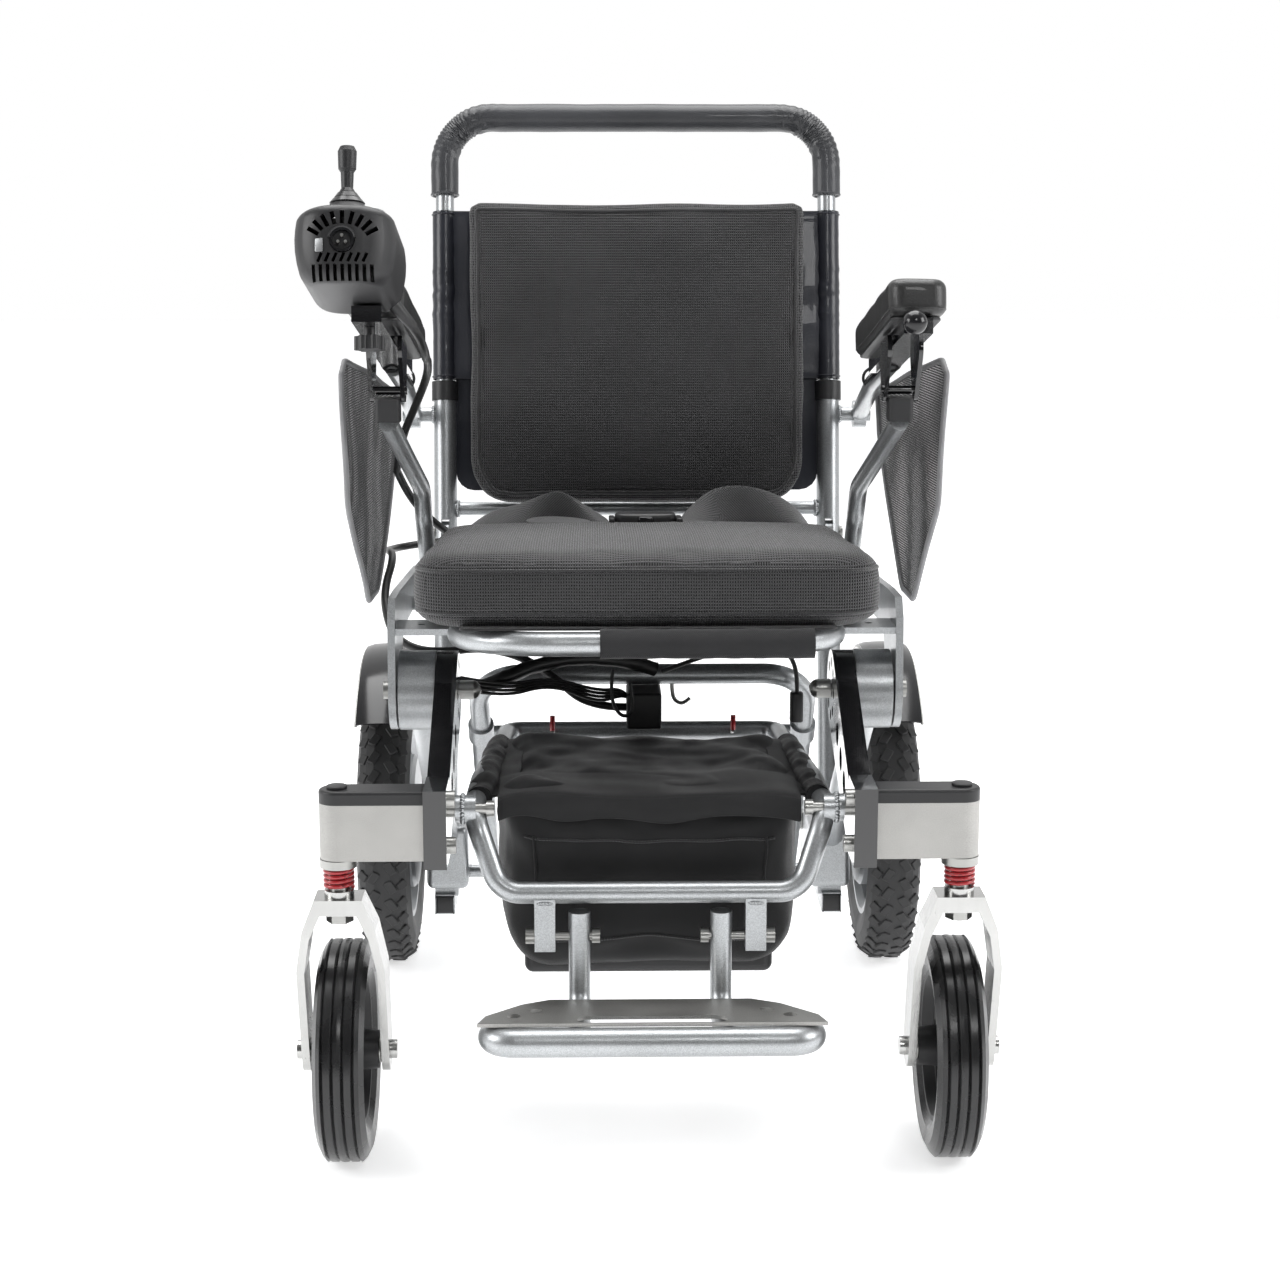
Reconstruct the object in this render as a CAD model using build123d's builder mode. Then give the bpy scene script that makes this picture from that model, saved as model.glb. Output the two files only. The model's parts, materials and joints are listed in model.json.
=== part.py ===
from build123d import *
import os
from math import cos, pi, radians, sin, tan

# Folding power wheelchair in millimetres. +X is the occupant's left, +Y the rear, +Z up.
# The origin is on the floor, at the middle of the whole chair's length and width.
os.makedirs("parts", exist_ok=True)
SIDES = {"right": -1, "left": 1}

# ---- fits ----
running = 0.05
body_gap = 0.3

# ---- wheels ----
wheelbase = 578
y_rear_axle = 254
y_front_axle = y_rear_axle - wheelbase
rear_wheel_diameter = 312
rear_tyre_width = 57
rear_wheel_x = 277
rear_rim_diameter = 216
motor_diameter = 150
motor_axle_diameter = 12
caster_diameter = 200
caster_width = 45
caster_x = 272
caster_trail = 38
caster_rim_diameter = 136
caster_axle_diameter = 10
y_stem = y_front_axle - caster_trail
antitip_diameter = 60
y_antitip = 446
fender_gap = 42
fender_wall = 3
fender_tab_z = 351

# ---- frame lanes, measured outward from the middle ----
cap_x = 155
arm_inner_x = 176
arm_thickness = 20
drum_inner_x = arm_inner_x + arm_thickness + 1
drum_outer_x = 231
plate_inner_x = 233
plate_thickness = 7
post_x = 212

# ---- hub: the fold axis of the front arms ----
y_hub = -164
z_hub = 397
drum_diameter = 75
hub_bolt_diameter = 10

# ---- rear frame ----
leg_diameter = 28
axle_box_width = 46
axle_box_length = 120
axle_box_height = 72
axle_box_z = 139
axle_box_y = 216
cross_tube_diameter = 14
bow_tube_diameter = 20
bow_x = 163
bow_top_z = 392
bow_top_y = -70
bow_foot_y = 166
bow_foot_z = 128
collar_radius = 13
antitip_bar = 22
antitip_bar_z = 79

# ---- back ----
recline = 11.9
post_diameter = 25.4
post_y_at_600 = 278
hinge_z = 485
hinge_tongue = 8
back_rod_diameter = 15
back_rod_z = 511
hinge_pin_diameter = 8
post_top_z = 632
push_tube_diameter = 20
collar_wall = 2.3
handle_z = 936
grip_diameter = 32
grip_low_z = 851
stub_z = 613
stub_diameter = 16
pad_half_width = 190
pad_bottom_z = 509
pad_top_z = 840
pad_thickness = 40
sleeve_bottom_z = 652
sleeve_top_z = 832
sleeve_wall = 0.8

# ---- seat ----
seat_tilt = 4.3
seat_tube_diameter = 22
seat_front_y = -304
seat_front_z = 468
seat_rail_x = 172
seat_corner_radius = 88
cushion_width = 430
cushion_depth = 415
cushion_thickness = 62

# ---- footrest hanger ----
hanger_tube_diameter = 19
y_hanger_pivot = y_stem + 10
z_hanger_pivot = 331
hanger_front_y = y_hanger_pivot - 22
hanger_front_z = 261
hanger_front_x = 131
hanger_rear_y = -24
hanger_rear_z = 324
hanger_rear_x = 135
footrest_pivot_y = hanger_front_y
footrest_pivot_z = 222
foot_tube_x = 62
foot_tube_diameter = 19
foot_bracket_x = 92
footplate_tube_diameter = 25
footplate_y = footrest_pivot_y - 93
footplate_z = 158
footplate_half_width = 157

# ---- armrests ----
pad_slope = 11.9
armrest_x = 243
armrest_pad_width = 54
armrest_pad_length = 300
armrest_pad_thickness = 38
armrest_front_y = -226
armrest_front_z = 788
clevis_y = -124
clevis_z = 676
strut_diameter = 18

# ---- controller ----
controller_x = -254
controller_y = -309
controller_z = 805
controller_pitch = 14
controller_width = 82
controller_length = 160
controller_height = 60
wall = 3

back_up = Vector(0, sin(radians(recline)), cos(radians(recline)))
back_forward = Vector(0, -cos(radians(recline)), sin(radians(recline)))


def post_y(z):
    """Y of the back post's axis at a height."""
    return post_y_at_600 + tan(radians(recline)) * (z - 600)


def on_post(x, z, forward=0):
    """A point beside the back post's axis, moved forward off the back's plane."""
    return Vector(x, post_y(z), z) + back_forward * forward


def seat_z(y, rise=0):
    """Height of the seat rail's axis at y, plus a rise square to the seat."""
    return seat_front_z - tan(radians(seat_tilt)) * (y - seat_front_y) + rise


def side_plane(x):
    """A plane across X whose sketch coordinates are (y, z)."""
    return Plane(origin=(x, 0, 0), x_dir=(0, 1, 0), z_dir=(1, 0, 0))


def tube(diameter, points, radii=None):
    """A round tube along straight runs joined by bends."""
    with BuildPart() as run:
        with BuildLine() as route:
            if len(points) == 2:
                Line(*points)
            else:
                FilletPolyline(*points, radius=radii)
        with BuildSketch(Plane(origin=route.line @ 0, z_dir=route.line % 0)):
            Circle(diameter / 2)
        sweep()
    return run.part


def rod(diameter, x_from, x_to, y, z, bore=0):
    """A round bar, or a ring with a bore, lying along X."""
    with BuildPart() as bar:
        with BuildSketch(side_plane(x_from)):
            with Locations((y, z)):
                Circle(diameter / 2)
                if bore:
                    Circle(bore / 2, mode=Mode.SUBTRACT)
        extrude(amount=x_to - x_from)
    return bar.part


def block(x_range, y_range, z_range, edge=0):
    """A box given by its limits along each axis, with its edges rounded."""
    spans = (x_range, y_range, z_range)
    with BuildPart() as body:
        with Locations(tuple(sum(span) / 2 for span in spans)):
            Box(*[abs(span[1] - span[0]) for span in spans])
        if edge:
            fillet(body.edges(), edge)
    return body.part


def revolved(profile, centre, axis):
    """A closed (along, radius) outline turned about an axis through a centre."""
    across = (0, 0, 1) if axis[2] == 0 else (1, 0, 0)
    with BuildPart() as body:
        with BuildSketch(Plane(origin=centre, x_dir=axis, z_dir=Vector(*axis).cross(Vector(*across)))):
            with BuildLine():
                Polyline(*profile, close=True)
            make_face()
        revolve(axis=Axis(centre, axis))
    return body.part


# ================= rear frame: the part that everything hangs on =================

with BuildPart() as rear_frame:
    with Locations((post_x - 2, axle_box_y, axle_box_z)):
        Box(axle_box_width, axle_box_length, axle_box_height)
    fillet(rear_frame.edges(), 8)
    add(rod(drum_diameter, drum_inner_x, drum_outer_x, y_hub, z_hub))
    add(tube(leg_diameter, [(post_x, y_hub, z_hub), (post_x, axle_box_y - 36, axle_box_z + 12)]))
    post_foot = on_post(post_x, axle_box_z + 12)
    add(tube(post_diameter, [post_foot, on_post(post_x, hinge_z - 14)]))
    add(rod(cross_tube_diameter, 0, post_x - 20, 200, 112))
    with BuildSketch(side_plane(post_x - hinge_tongue / 2)):
        with Locations((post_y(hinge_z), hinge_z)):
            Circle(post_diameter / 2)
            with Locations(Location((0, 0, 0), (0, 0, -recline))):
                with Locations((0, -12)):
                    Rectangle(post_diameter, 24)
    extrude(amount=hinge_tongue)
    mirror(about=Plane.YZ)
    hub_bore = hub_bolt_diameter + 2 * running
    add(rod(hub_bore, -240, 240, y_hub, z_hub), mode=Mode.SUBTRACT)
    axle_bore = motor_axle_diameter + 2 * running
    add(rod(axle_bore, -240, 240, y_rear_axle, rear_wheel_diameter / 2), mode=Mode.SUBTRACT)
    hinge_bore = hinge_pin_diameter + 2 * running
    add(rod(hinge_bore, -240, 240, post_y(hinge_z), hinge_z), mode=Mode.SUBTRACT)
rear_frame.part.label = "rear_frame"
export_step(rear_frame.part, "parts/rear_frame.step")

# The bow stands on the rear cross tube and carries the hanger's latch pins.
with BuildPart() as cross_bow:
    bow_points = [
        (bow_x, bow_foot_y, bow_foot_z),
        (bow_x, bow_top_y, bow_top_z),
        (-bow_x, bow_top_y, bow_top_z),
        (-bow_x, bow_foot_y, bow_foot_z),
    ]
    add(tube(bow_tube_diameter, bow_points, radii=45))
    bow_run = Vector(0, bow_foot_y - bow_top_y, bow_foot_z - bow_top_z)
    latch_y = bow_top_y + bow_run.Y * 0.27
    latch_z = bow_top_z + bow_run.Z * 0.27
    for side in (-1, 1):
        collar_plane = Plane(origin=(side * bow_x, latch_y, latch_z), z_dir=bow_run)
        with BuildSketch(collar_plane.offset(-11)):
            Circle(collar_radius)
        extrude(amount=22)
        with BuildSketch(side_plane(side * bow_x - 4)):
            with BuildLine():
                Polyline(
                    (bow_foot_y - 12, bow_foot_z + 8), (bow_foot_y + 10, bow_foot_z + 14),
                    (192, 120), (192, 112), (bow_foot_y - 10, 112), close=True,
                )
            make_face()
        extrude(amount=8)
    add(rod(cross_tube_diameter + 0.4, -200, 200, 200, 112), mode=Mode.SUBTRACT)
    for side in (-1, 1):
        add(rod(9, side * (bow_x + 9), side * (bow_x + 12.4), latch_y, latch_z))
cross_bow.part.label = "cross_bow"
export_step(cross_bow.part, "parts/cross_bow.step")

# Square bars under the axle boxes carry the small anti-tip wheels.
with BuildPart() as antitip_bars:
    bar_x = 215
    z_low = antitip_bar_z - antitip_bar / 2
    z_high = antitip_bar_z + antitip_bar / 2
    half = antitip_bar / 2
    add(block((bar_x - half, bar_x + half), (181, 405), (z_low, z_high)))
    add(block((bar_x - 15, bar_x + 11), (188, 262), (z_high - 3, 103)))
    for plate_x in (bar_x - half, bar_x + half - 4):
        with BuildSketch(side_plane(plate_x)):
            with Locations((400, antitip_bar_z)):
                Circle(11)
            with Locations((y_antitip, antitip_diameter)):
                Circle(11)
            make_hull()
        extrude(amount=4)
    mirror(about=Plane.YZ)
    add(rod(8, bar_x - half, bar_x + half, y_antitip, antitip_diameter))
    add(rod(8, -bar_x - half, -bar_x + half, y_antitip, antitip_diameter))
antitip_bars.part.label = "antitip_bars"
export_step(antitip_bars.part, "parts/antitip_bars.step")

for name, side in SIDES.items():
    with BuildPart() as antitip_wheel:
        half = antitip_bar / 2 - 4.8
        outline = [
            (-half, 4 + running), (half, 4 + running), (half, 26), (half - 3, 30),
            (3 - half, 30), (-half, 26),
        ]
        add(revolved(outline, (side * 215, y_antitip, antitip_diameter), (1, 0, 0)))
    antitip_wheel.part.label = f"antitip_wheel_{name}"
    export_step(antitip_wheel.part, f"parts/antitip_wheel_{name}.step")

# Mudguards curve over the rear tyres and are held by a tab from each lower post.
fender_radius = rear_wheel_diameter / 2 + fender_gap + fender_wall
with BuildPart() as fenders:
    with BuildSketch(side_plane(rear_wheel_x - 27)):
        with Locations((y_rear_axle, rear_wheel_diameter / 2)):
            Circle(fender_radius)
            Circle(fender_radius - fender_wall, mode=Mode.SUBTRACT)
        with BuildLine():
            centre = (y_rear_axle, rear_wheel_diameter / 2)
            Polyline(
                centre, (centre[0] - 300, centre[1] + 290), (centre[0] + 200, centre[1] + 400),
                close=True,
            )
        make_face(mode=Mode.INTERSECT)
    extrude(amount=54)
    tab_y = post_y(fender_tab_z)
    tab_reach = (post_x + post_diameter / 2 + body_gap, rear_wheel_x - 20)
    add(block(tab_reach, (tab_y - 9, tab_y + 9), (fender_tab_z - 2, fender_tab_z + 2)))
    mirror(about=Plane.YZ)
fenders.part.label = "fenders"
export_step(fenders.part, "parts/fenders.step")

# Each hub motor's stator and its fixed axle, held in the axle box.
wheel_z = rear_wheel_diameter / 2
with BuildPart() as motor_stators:
    add(rod(motor_axle_diameter, 186, 296, y_rear_axle, wheel_z))
    add(rod(motor_diameter - 24, 262, 284, y_rear_axle, wheel_z))
    add(rod(24, 180, 186.8, y_rear_axle, wheel_z))
    mirror(about=Plane.YZ)
motor_stators.part.label = "motor_stators"
export_step(motor_stators.part, "parts/motor_stators.step")

# ================= seat =================

with BuildPart() as seat_frame:
    rail_end_y = post_y(seat_z(242))
    rail_end_z = seat_z(rail_end_y)
    rail_points = [
        (0, seat_front_y, seat_front_z), (seat_rail_x, seat_front_y, seat_front_z),
        (seat_rail_x, rail_end_y, rail_end_z),
    ]
    add(tube(seat_tube_diameter, rail_points, radii=seat_corner_radius))
    add(rod(seat_tube_diameter, 0, post_x - post_diameter / 2 - 0.5, rail_end_y, rail_end_z))
    with BuildSketch(side_plane(plate_inner_x)):
        with Locations((y_hub, z_hub)):
            Circle(37)
        with BuildLine():
            Polyline(
                (y_hub - 37, z_hub), (y_hub - 30, 470), (y_hub - 16, 488), (y_hub + 40, 486),
                (146, 466), (146, 434), (y_hub + 70, 444), (y_hub + 37, z_hub), close=True,
            )
        make_face()
    extrude(amount=plate_thickness)
    for tab_y in (y_hub - 4, 60):
        tab_z = seat_z(tab_y)
        add(block((seat_rail_x, plate_inner_x + 1), (tab_y - 24, tab_y + 24), (tab_z - 3, tab_z + 3)))
        with Locations((post_x - 2, tab_y, tab_z)):
            Cylinder(3.5, 20, mode=Mode.SUBTRACT)
    mirror(about=Plane.YZ)
    add(rod(hub_bore, -245, 245, y_hub, z_hub), mode=Mode.SUBTRACT)
seat_frame.part.label = "seat_frame"
export_step(seat_frame.part, "parts/seat_frame.step")

tilted = Plane(origin=(0, seat_front_y, seat_front_z), x_dir=(1, 0, 0),
               z_dir=(0, sin(radians(seat_tilt)), cos(radians(seat_tilt))))

sling_thickness = 2.5
sling_rise = seat_tube_diameter / 2 + body_gap
with BuildPart() as seat_sling:
    with BuildSketch(tilted.offset(sling_rise)):
        with Locations((0, 262)):
            Rectangle(2 * seat_rail_x - 8, 520)
    extrude(amount=sling_thickness)
seat_sling.part.label = "seat_sling"
export_step(seat_sling.part, "parts/seat_sling.step")

cushion_rise = sling_rise + sling_thickness + body_gap
with BuildPart() as seat_cushion:
    with BuildSketch(tilted.offset(cushion_rise)):
        with Locations((0, cushion_depth / 2)):
            RectangleRounded(cushion_width, cushion_depth, 42)
    extrude(amount=cushion_thickness)
    fillet(seat_cushion.edges().group_by(Axis((0, 0, 0), tilted.z_dir))[-1], 16)
    fillet(seat_cushion.edges().group_by(Axis((0, 0, 0), tilted.z_dir))[0], 10)
seat_cushion.part.label = "seat_cushion"
export_step(seat_cushion.part, "parts/seat_cushion.step")

# Lap belt: two webbing straps rise behind the cushion and meet on it at the buckle.
belt_width = 44
belt_rise = cushion_rise + cushion_thickness + 0.6
with BuildPart() as seat_belt:
    for side, reach in ((-1, 62), (1, 18)):
        belt_plane = Plane(origin=tilted.location.position, x_dir=tilted.x_dir, z_dir=tilted.z_dir)
        with BuildSketch(belt_plane.offset(belt_rise)):
            with Locations((side * (188 + reach) / 2, 386)):
                Rectangle(188 - reach, belt_width)
        extrude(amount=2.4)
        with BuildSketch(belt_plane.offset(cushion_rise - 14)):
            with Locations((side * 190, 386 + 30.2 + 22)):
                Rectangle(3, belt_width)
        extrude(amount=cushion_thickness + 17)
        with BuildSketch(belt_plane.offset(belt_rise)):
            with Locations((side * 188, 386 + 27)):
                Rectangle(6.9, belt_width + 50)
        extrude(amount=2.4)
seat_belt.part.label = "seat_belt"
export_step(seat_belt.part, "parts/seat_belt.step")

with BuildPart() as belt_buckle:
    with BuildSketch(tilted.offset(belt_rise)):
        with Locations((-22, 386)):
            RectangleRounded(79.4, 50, 8)
    extrude(amount=14)
    fillet(belt_buckle.edges().group_by(Axis((0, 0, 0), tilted.z_dir))[-1], 4)
belt_buckle.part.label = "belt_buckle"
export_step(belt_buckle.part, "parts/belt_buckle.step")

# Bent struts stand on the seat side plates and end in the clevises under the armrests.
strut_radii = [40, 60, 90]
strut_points = [
    (armrest_x - 22, 120, 452), (armrest_x - 18, 100, 520), (armrest_x - 19, 62, 560),
    (armrest_x - 10, -40, 606), (armrest_x - 2, clevis_y, clevis_z - 30),
]
with BuildPart() as armrest_struts:
    add(tube(strut_diameter, strut_points, radii=strut_radii))
    add(rod(26, plate_inner_x - 15.2, plate_inner_x - 0.2, 120, 452))
    mirror(about=Plane.YZ)
armrest_struts.part.label = "armrest_struts"
export_step(armrest_struts.part, "parts/armrest_struts.step")

with BuildPart() as strut_clevises:
    top = Vector(armrest_x - 2, clevis_y, clevis_z - 30)
    with Locations((top.X, top.Y, top.Z + 12)):
        Box(23, 26, 22)
    fillet(strut_clevises.edges().filter_by(Axis.Z), 4)
    add(tube(strut_diameter + 2 * running, strut_points, radii=strut_radii), mode=Mode.SUBTRACT)
    mirror(about=Plane.YZ)
strut_clevises.part.label = "strut_clevises"
export_step(strut_clevises.part, "parts/strut_clevises.step")

# Motor power unit hung under the bow, and its cable.
with BuildPart() as power_controller:
    add(block((-17, 17), (bow_top_y - 45, bow_top_y + 8), (346, bow_top_z - 10.4), edge=3))
power_controller.part.label = "power_controller"
export_step(power_controller.part, "parts/power_controller.step")

with BuildPart() as pivot_bolts:
    add(rod(hub_bolt_diameter, cap_x + 8, plate_inner_x + plate_thickness + 2, y_hub, z_hub))
    add(rod(18, cap_x + 7, arm_inner_x - 0.5, y_hub, z_hub))
    with Locations((cap_x + 9, y_hub, z_hub)):
        Sphere(9)
    add(rod(17, plate_inner_x + plate_thickness, plate_inner_x + plate_thickness + 7, y_hub, z_hub))
    pin_reach = post_diameter / 2 + 3
    add(rod(hinge_pin_diameter, post_x - pin_reach, post_x + pin_reach, post_y(hinge_z), hinge_z))
    for x in (post_x - pin_reach, post_x + pin_reach - 2.4):
        add(rod(13, x, x + 2.4, post_y(hinge_z), hinge_z))
    mirror(about=Plane.YZ)
pivot_bolts.part.label = "pivot_bolts"
export_step(pivot_bolts.part, "parts/pivot_bolts.step")

# ================= front frame: folds about the hub =================

arm_outer_x = arm_inner_x + arm_thickness
arm_drop = 89
low_bolt = (y_stem - 4, 302)
high_bolt = (y_stem - 14, 346)
for name, side in SIDES.items():
    with BuildPart() as front_arm:
        with BuildSketch(side_plane(arm_inner_x)):
            with Locations((y_hub, z_hub)):
                Circle(37)
            with Locations((y_stem + 30, 320)):
                Circle(28)
            make_hull()
            with Locations((y_stem, 321)):
                Rectangle(52, 70)
            with Locations((y_hub, z_hub)):
                with PolarLocations(25.5, 8):
                    Circle(5, mode=Mode.SUBTRACT)
                Circle(hub_bore / 2, mode=Mode.SUBTRACT)
            for share in (0.33, 0.5, 0.66):
                with Locations((y_hub + share * (y_stem - y_hub), z_hub - share * arm_drop)):
                    Circle(11, mode=Mode.SUBTRACT)
            with Locations((y_hanger_pivot, z_hanger_pivot), low_bolt, high_bolt):
                Circle(5 + running, mode=Mode.SUBTRACT)
        extrude(amount=arm_thickness)
        if side < 0:
            mirror(about=Plane.YZ, mode=Mode.REPLACE)
    front_arm.part.label = f"front_arm_{name}"
    export_step(front_arm.part, f"parts/front_arm_{name}.step")

bracket_bottom_z = 291
bracket_top_z = 341
stem_diameter = 16


def bracket_outline():
    """The caster bracket seen from above: a flat arm that ends in a round barrel."""
    with BuildSketch(Plane.XY) as outline:
        with Locations((caster_x, y_stem)):
            Circle(16)
        with Locations(((arm_outer_x + caster_x) / 2, y_stem)):
            Rectangle(caster_x - arm_outer_x, 32)
    return outline.sketch


with BuildPart() as caster_brackets:
    with BuildSketch(Plane.XY.offset(bracket_bottom_z)):
        add(bracket_outline())
        with Locations((caster_x, y_stem)):
            Circle(stem_diameter / 2 + running, mode=Mode.SUBTRACT)
    extrude(amount=bracket_top_z - bracket_bottom_z)
    add(rod(10 + 2 * running, arm_outer_x - 1, arm_outer_x + 20, *low_bolt), mode=Mode.SUBTRACT)
    mirror(about=Plane.YZ)
caster_brackets.part.label = "caster_brackets"
export_step(caster_brackets.part, "parts/caster_brackets.step")

with BuildPart() as bracket_caps:
    with BuildSketch(Plane.XY.offset(bracket_top_z)):
        add(bracket_outline())
    extrude(amount=12)
    fillet(bracket_caps.edges().group_by(Axis.Z)[-1], 3)
    mirror(about=Plane.YZ)
bracket_caps.part.label = "bracket_caps"
export_step(bracket_caps.part, "parts/bracket_caps.step")

with BuildPart() as arm_bolts:
    add(rod(10, 140, arm_outer_x - 1, y_hanger_pivot, z_hanger_pivot))
    add(rod(14, 136, 143, y_hanger_pivot, z_hanger_pivot))
    add(rod(15, 170.5, arm_inner_x, y_hanger_pivot, z_hanger_pivot))
    add(rod(10, arm_inner_x - 1, arm_outer_x + 19, *low_bolt))
    add(rod(15, arm_inner_x - 7, arm_inner_x, *low_bolt))
    add(rod(10, arm_inner_x - 1, arm_outer_x - 1, *high_bolt))
    add(rod(15, arm_inner_x - 7, arm_inner_x, *high_bolt))
    mirror(about=Plane.YZ)
arm_bolts.part.label = "arm_bolts"
export_step(arm_bolts.part, "parts/arm_bolts.step")

# ================= casters =================

ring_z = bracket_bottom_z - 0.5
crown_top_z = 256
crown_bottom_z = 242
spring_top_z = 283
spring_bottom_z = 262

for name, side in SIDES.items():
    x = side * caster_x
    with BuildPart() as caster_stem:
        with BuildSketch(Plane(origin=(x, y_stem, 232))):
            Circle(8)
        extrude(amount=bracket_top_z - 4 - 232)
        with BuildSketch(Plane(origin=(x, y_stem, spring_top_z))):
            Circle(16.5)
        extrude(amount=ring_z - spring_top_z)
        with BuildSketch(Plane(origin=(x, y_stem, crown_bottom_z - 9))):
            RegularPolygon(12, 6)
        extrude(amount=8.7)
    caster_stem.part.label = f"caster_stem_{name}"
    export_step(caster_stem.part, f"parts/caster_stem_{name}.step")

    wire = 3.6
    with BuildPart() as caster_spring:
        coil_height = spring_top_z - spring_bottom_z - wire - 0.4
        with BuildLine() as coil:
            Helix(pitch=coil_height / 4, height=coil_height, radius=12,
                  center=(x, y_stem, spring_bottom_z + wire / 2 + 0.2))
        with BuildSketch(Plane(origin=coil.line @ 0, z_dir=coil.line % 0)):
            Circle(wire / 2)
        sweep(is_frenet=True)
    caster_spring.part.label = f"caster_spring_{name}"
    export_step(caster_spring.part, f"parts/caster_spring_{name}.step")

    with BuildPart() as caster_fork:
        with BuildSketch(Plane(origin=(x, 0, 0), x_dir=(1, 0, 0), z_dir=(0, -1, 0))) as front_view:
            with BuildLine():
                Polyline(
                    (-21, crown_top_z), (21, crown_top_z), (32, 228), (39, 188), (39, 70),
                    (32, 70), (32, 186), (26, 220), (16, crown_bottom_z),
                    (-16, crown_bottom_z), (-26, 220), (-32, 186), (-32, 70), (-39, 70),
                    (-39, 188), (-32, 228), close=True,
                )
            make_face()
            fillet(front_view.vertices().filter_by(lambda v: 180 < v.Z < 232), 30)
        extrude(amount=500)
        with BuildSketch(side_plane(x - 50)):
            with Locations((y_stem, crown_top_z - 16)):
                Rectangle(34, 34)
            with Locations((y_front_axle, caster_diameter / 2)):
                Circle(19)
            make_hull()
        extrude(amount=100, mode=Mode.INTERSECT)
        with BuildSketch(Plane(origin=(x, y_stem, crown_top_z - 0.5))):
            Circle(13)
        extrude(amount=spring_bottom_z - crown_top_z + 0.5)
        with Locations((x, y_stem, 250)):
            Cylinder(8 + running, 40, mode=Mode.SUBTRACT)
        add(rod(caster_axle_diameter, x - 42, x + 42, y_front_axle, caster_diameter / 2))
        for nut_x in (x - 45, x + 39):
            add(rod(17, nut_x, nut_x + 6, y_front_axle, caster_diameter / 2))
    caster_fork.part.label = f"caster_fork_{name}"
    export_step(caster_fork.part, f"parts/caster_fork_{name}.step")

    centre = (x, y_front_axle, caster_diameter / 2)
    with BuildPart() as caster_hub:
        rim = caster_rim_diameter / 2
        bore = caster_axle_diameter / 2 + running
        outline = [
            (-29, bore), (29, bore), (29, 17), (8, 19), (6, rim - 10), (16, rim - 5), (16, rim),
            (-16, rim), (-16, rim - 5), (-6, rim - 10), (-8, 19), (-29, 17),
        ]
        add(revolved(outline, centre, (1, 0, 0)))
        with BuildSketch(side_plane(x - 40)):
            with Locations(centre[1:]):
                with PolarLocations(38, 6):
                    Circle(11)
        extrude(amount=80, mode=Mode.SUBTRACT)
    caster_hub.part.label = f"caster_hub_{name}"
    export_step(caster_hub.part, f"parts/caster_hub_{name}.step")

    with BuildPart() as caster_tyre:
        rim = caster_rim_diameter / 2
        top = caster_diameter / 2
        half = caster_width / 2
        outline = [(-16, rim), (16, rim), (half - 2, rim + 6), (half, top - 12), (half - 4, top - 4)]
        groove_count = 4
        for k in range(groove_count):
            groove_x = half - 9 - k * (2 * half - 18) / (groove_count - 1)
            outline += [(groove_x + 1.6, top - 0.4), (groove_x, top - 2.2), (groove_x - 1.6, top - 0.4)]
            if k == 1:
                outline += [(0, top)]
        outline += [(4 - half, top - 4), (-half, top - 12), (2 - half, rim + 6)]
        add(revolved(outline, centre, (1, 0, 0)))
    caster_tyre.part.label = f"caster_tyre_{name}"
    export_step(caster_tyre.part, f"parts/caster_tyre_{name}.step")

# ================= rear wheels =================

for name, side in SIDES.items():
    centre = (side * rear_wheel_x, y_rear_axle, wheel_z)
    with BuildPart() as rear_rim:
        rim = rear_rim_diameter / 2
        drum = motor_diameter / 2
        axle = motor_axle_diameter / 2 + running
        outline = [
            (-33, axle), (-33, 30), (-29, drum - 4), (-25, drum), (25, drum), (29, drum - 4),
            (31, 20), (31, 0), (21, 0), (21, drum - 8), (-21, drum - 8), (-21, axle),
        ]
        outline = [(side * along, radius) for along, radius in outline]
        add(revolved(outline, centre, (1, 0, 0)))
        ring = [(-24, rim), (-24, rim - 6), (-17, rim - 14), (17, rim - 14), (24, rim - 6), (24, rim)]
        add(revolved(ring, centre, (1, 0, 0)))
        with BuildSketch(side_plane(side * rear_wheel_x - 13)):
            with Locations(centre[1:]):
                with PolarLocations((drum + rim - 12) / 2, 6):
                    Rectangle(rim - drum - 4, 24)
        extrude(amount=26)
        with BuildSketch(side_plane(side * rear_wheel_x - 20)):
            with Locations(centre[1:]):
                Circle(drum - 8)
        extrude(amount=40, mode=Mode.SUBTRACT)
    rear_rim.part.label = f"rear_rim_{name}"
    export_step(rear_rim.part, f"parts/rear_rim_{name}.step")

    with BuildPart() as rear_tyre:
        top = rear_wheel_diameter / 2
        half = rear_tyre_width / 2
        outline = [
            (-24, rim), (24, rim), (half - 1, rim + 12), (half, rim + 24), (half - 4, top - 10),
            (half - 11, top - 3), (9, top), (-9, top), (11 - half, top - 3), (4 - half, top - 10),
            (-half, rim + 24), (1 - half, rim + 12),
        ]
        add(revolved(outline, centre, (1, 0, 0)))
    rear_tyre.part.label = f"rear_tyre_{name}"
    export_step(rear_tyre.part, f"parts/rear_tyre_{name}.step")

# ================= footrest hanger, bag and footrest =================

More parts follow.
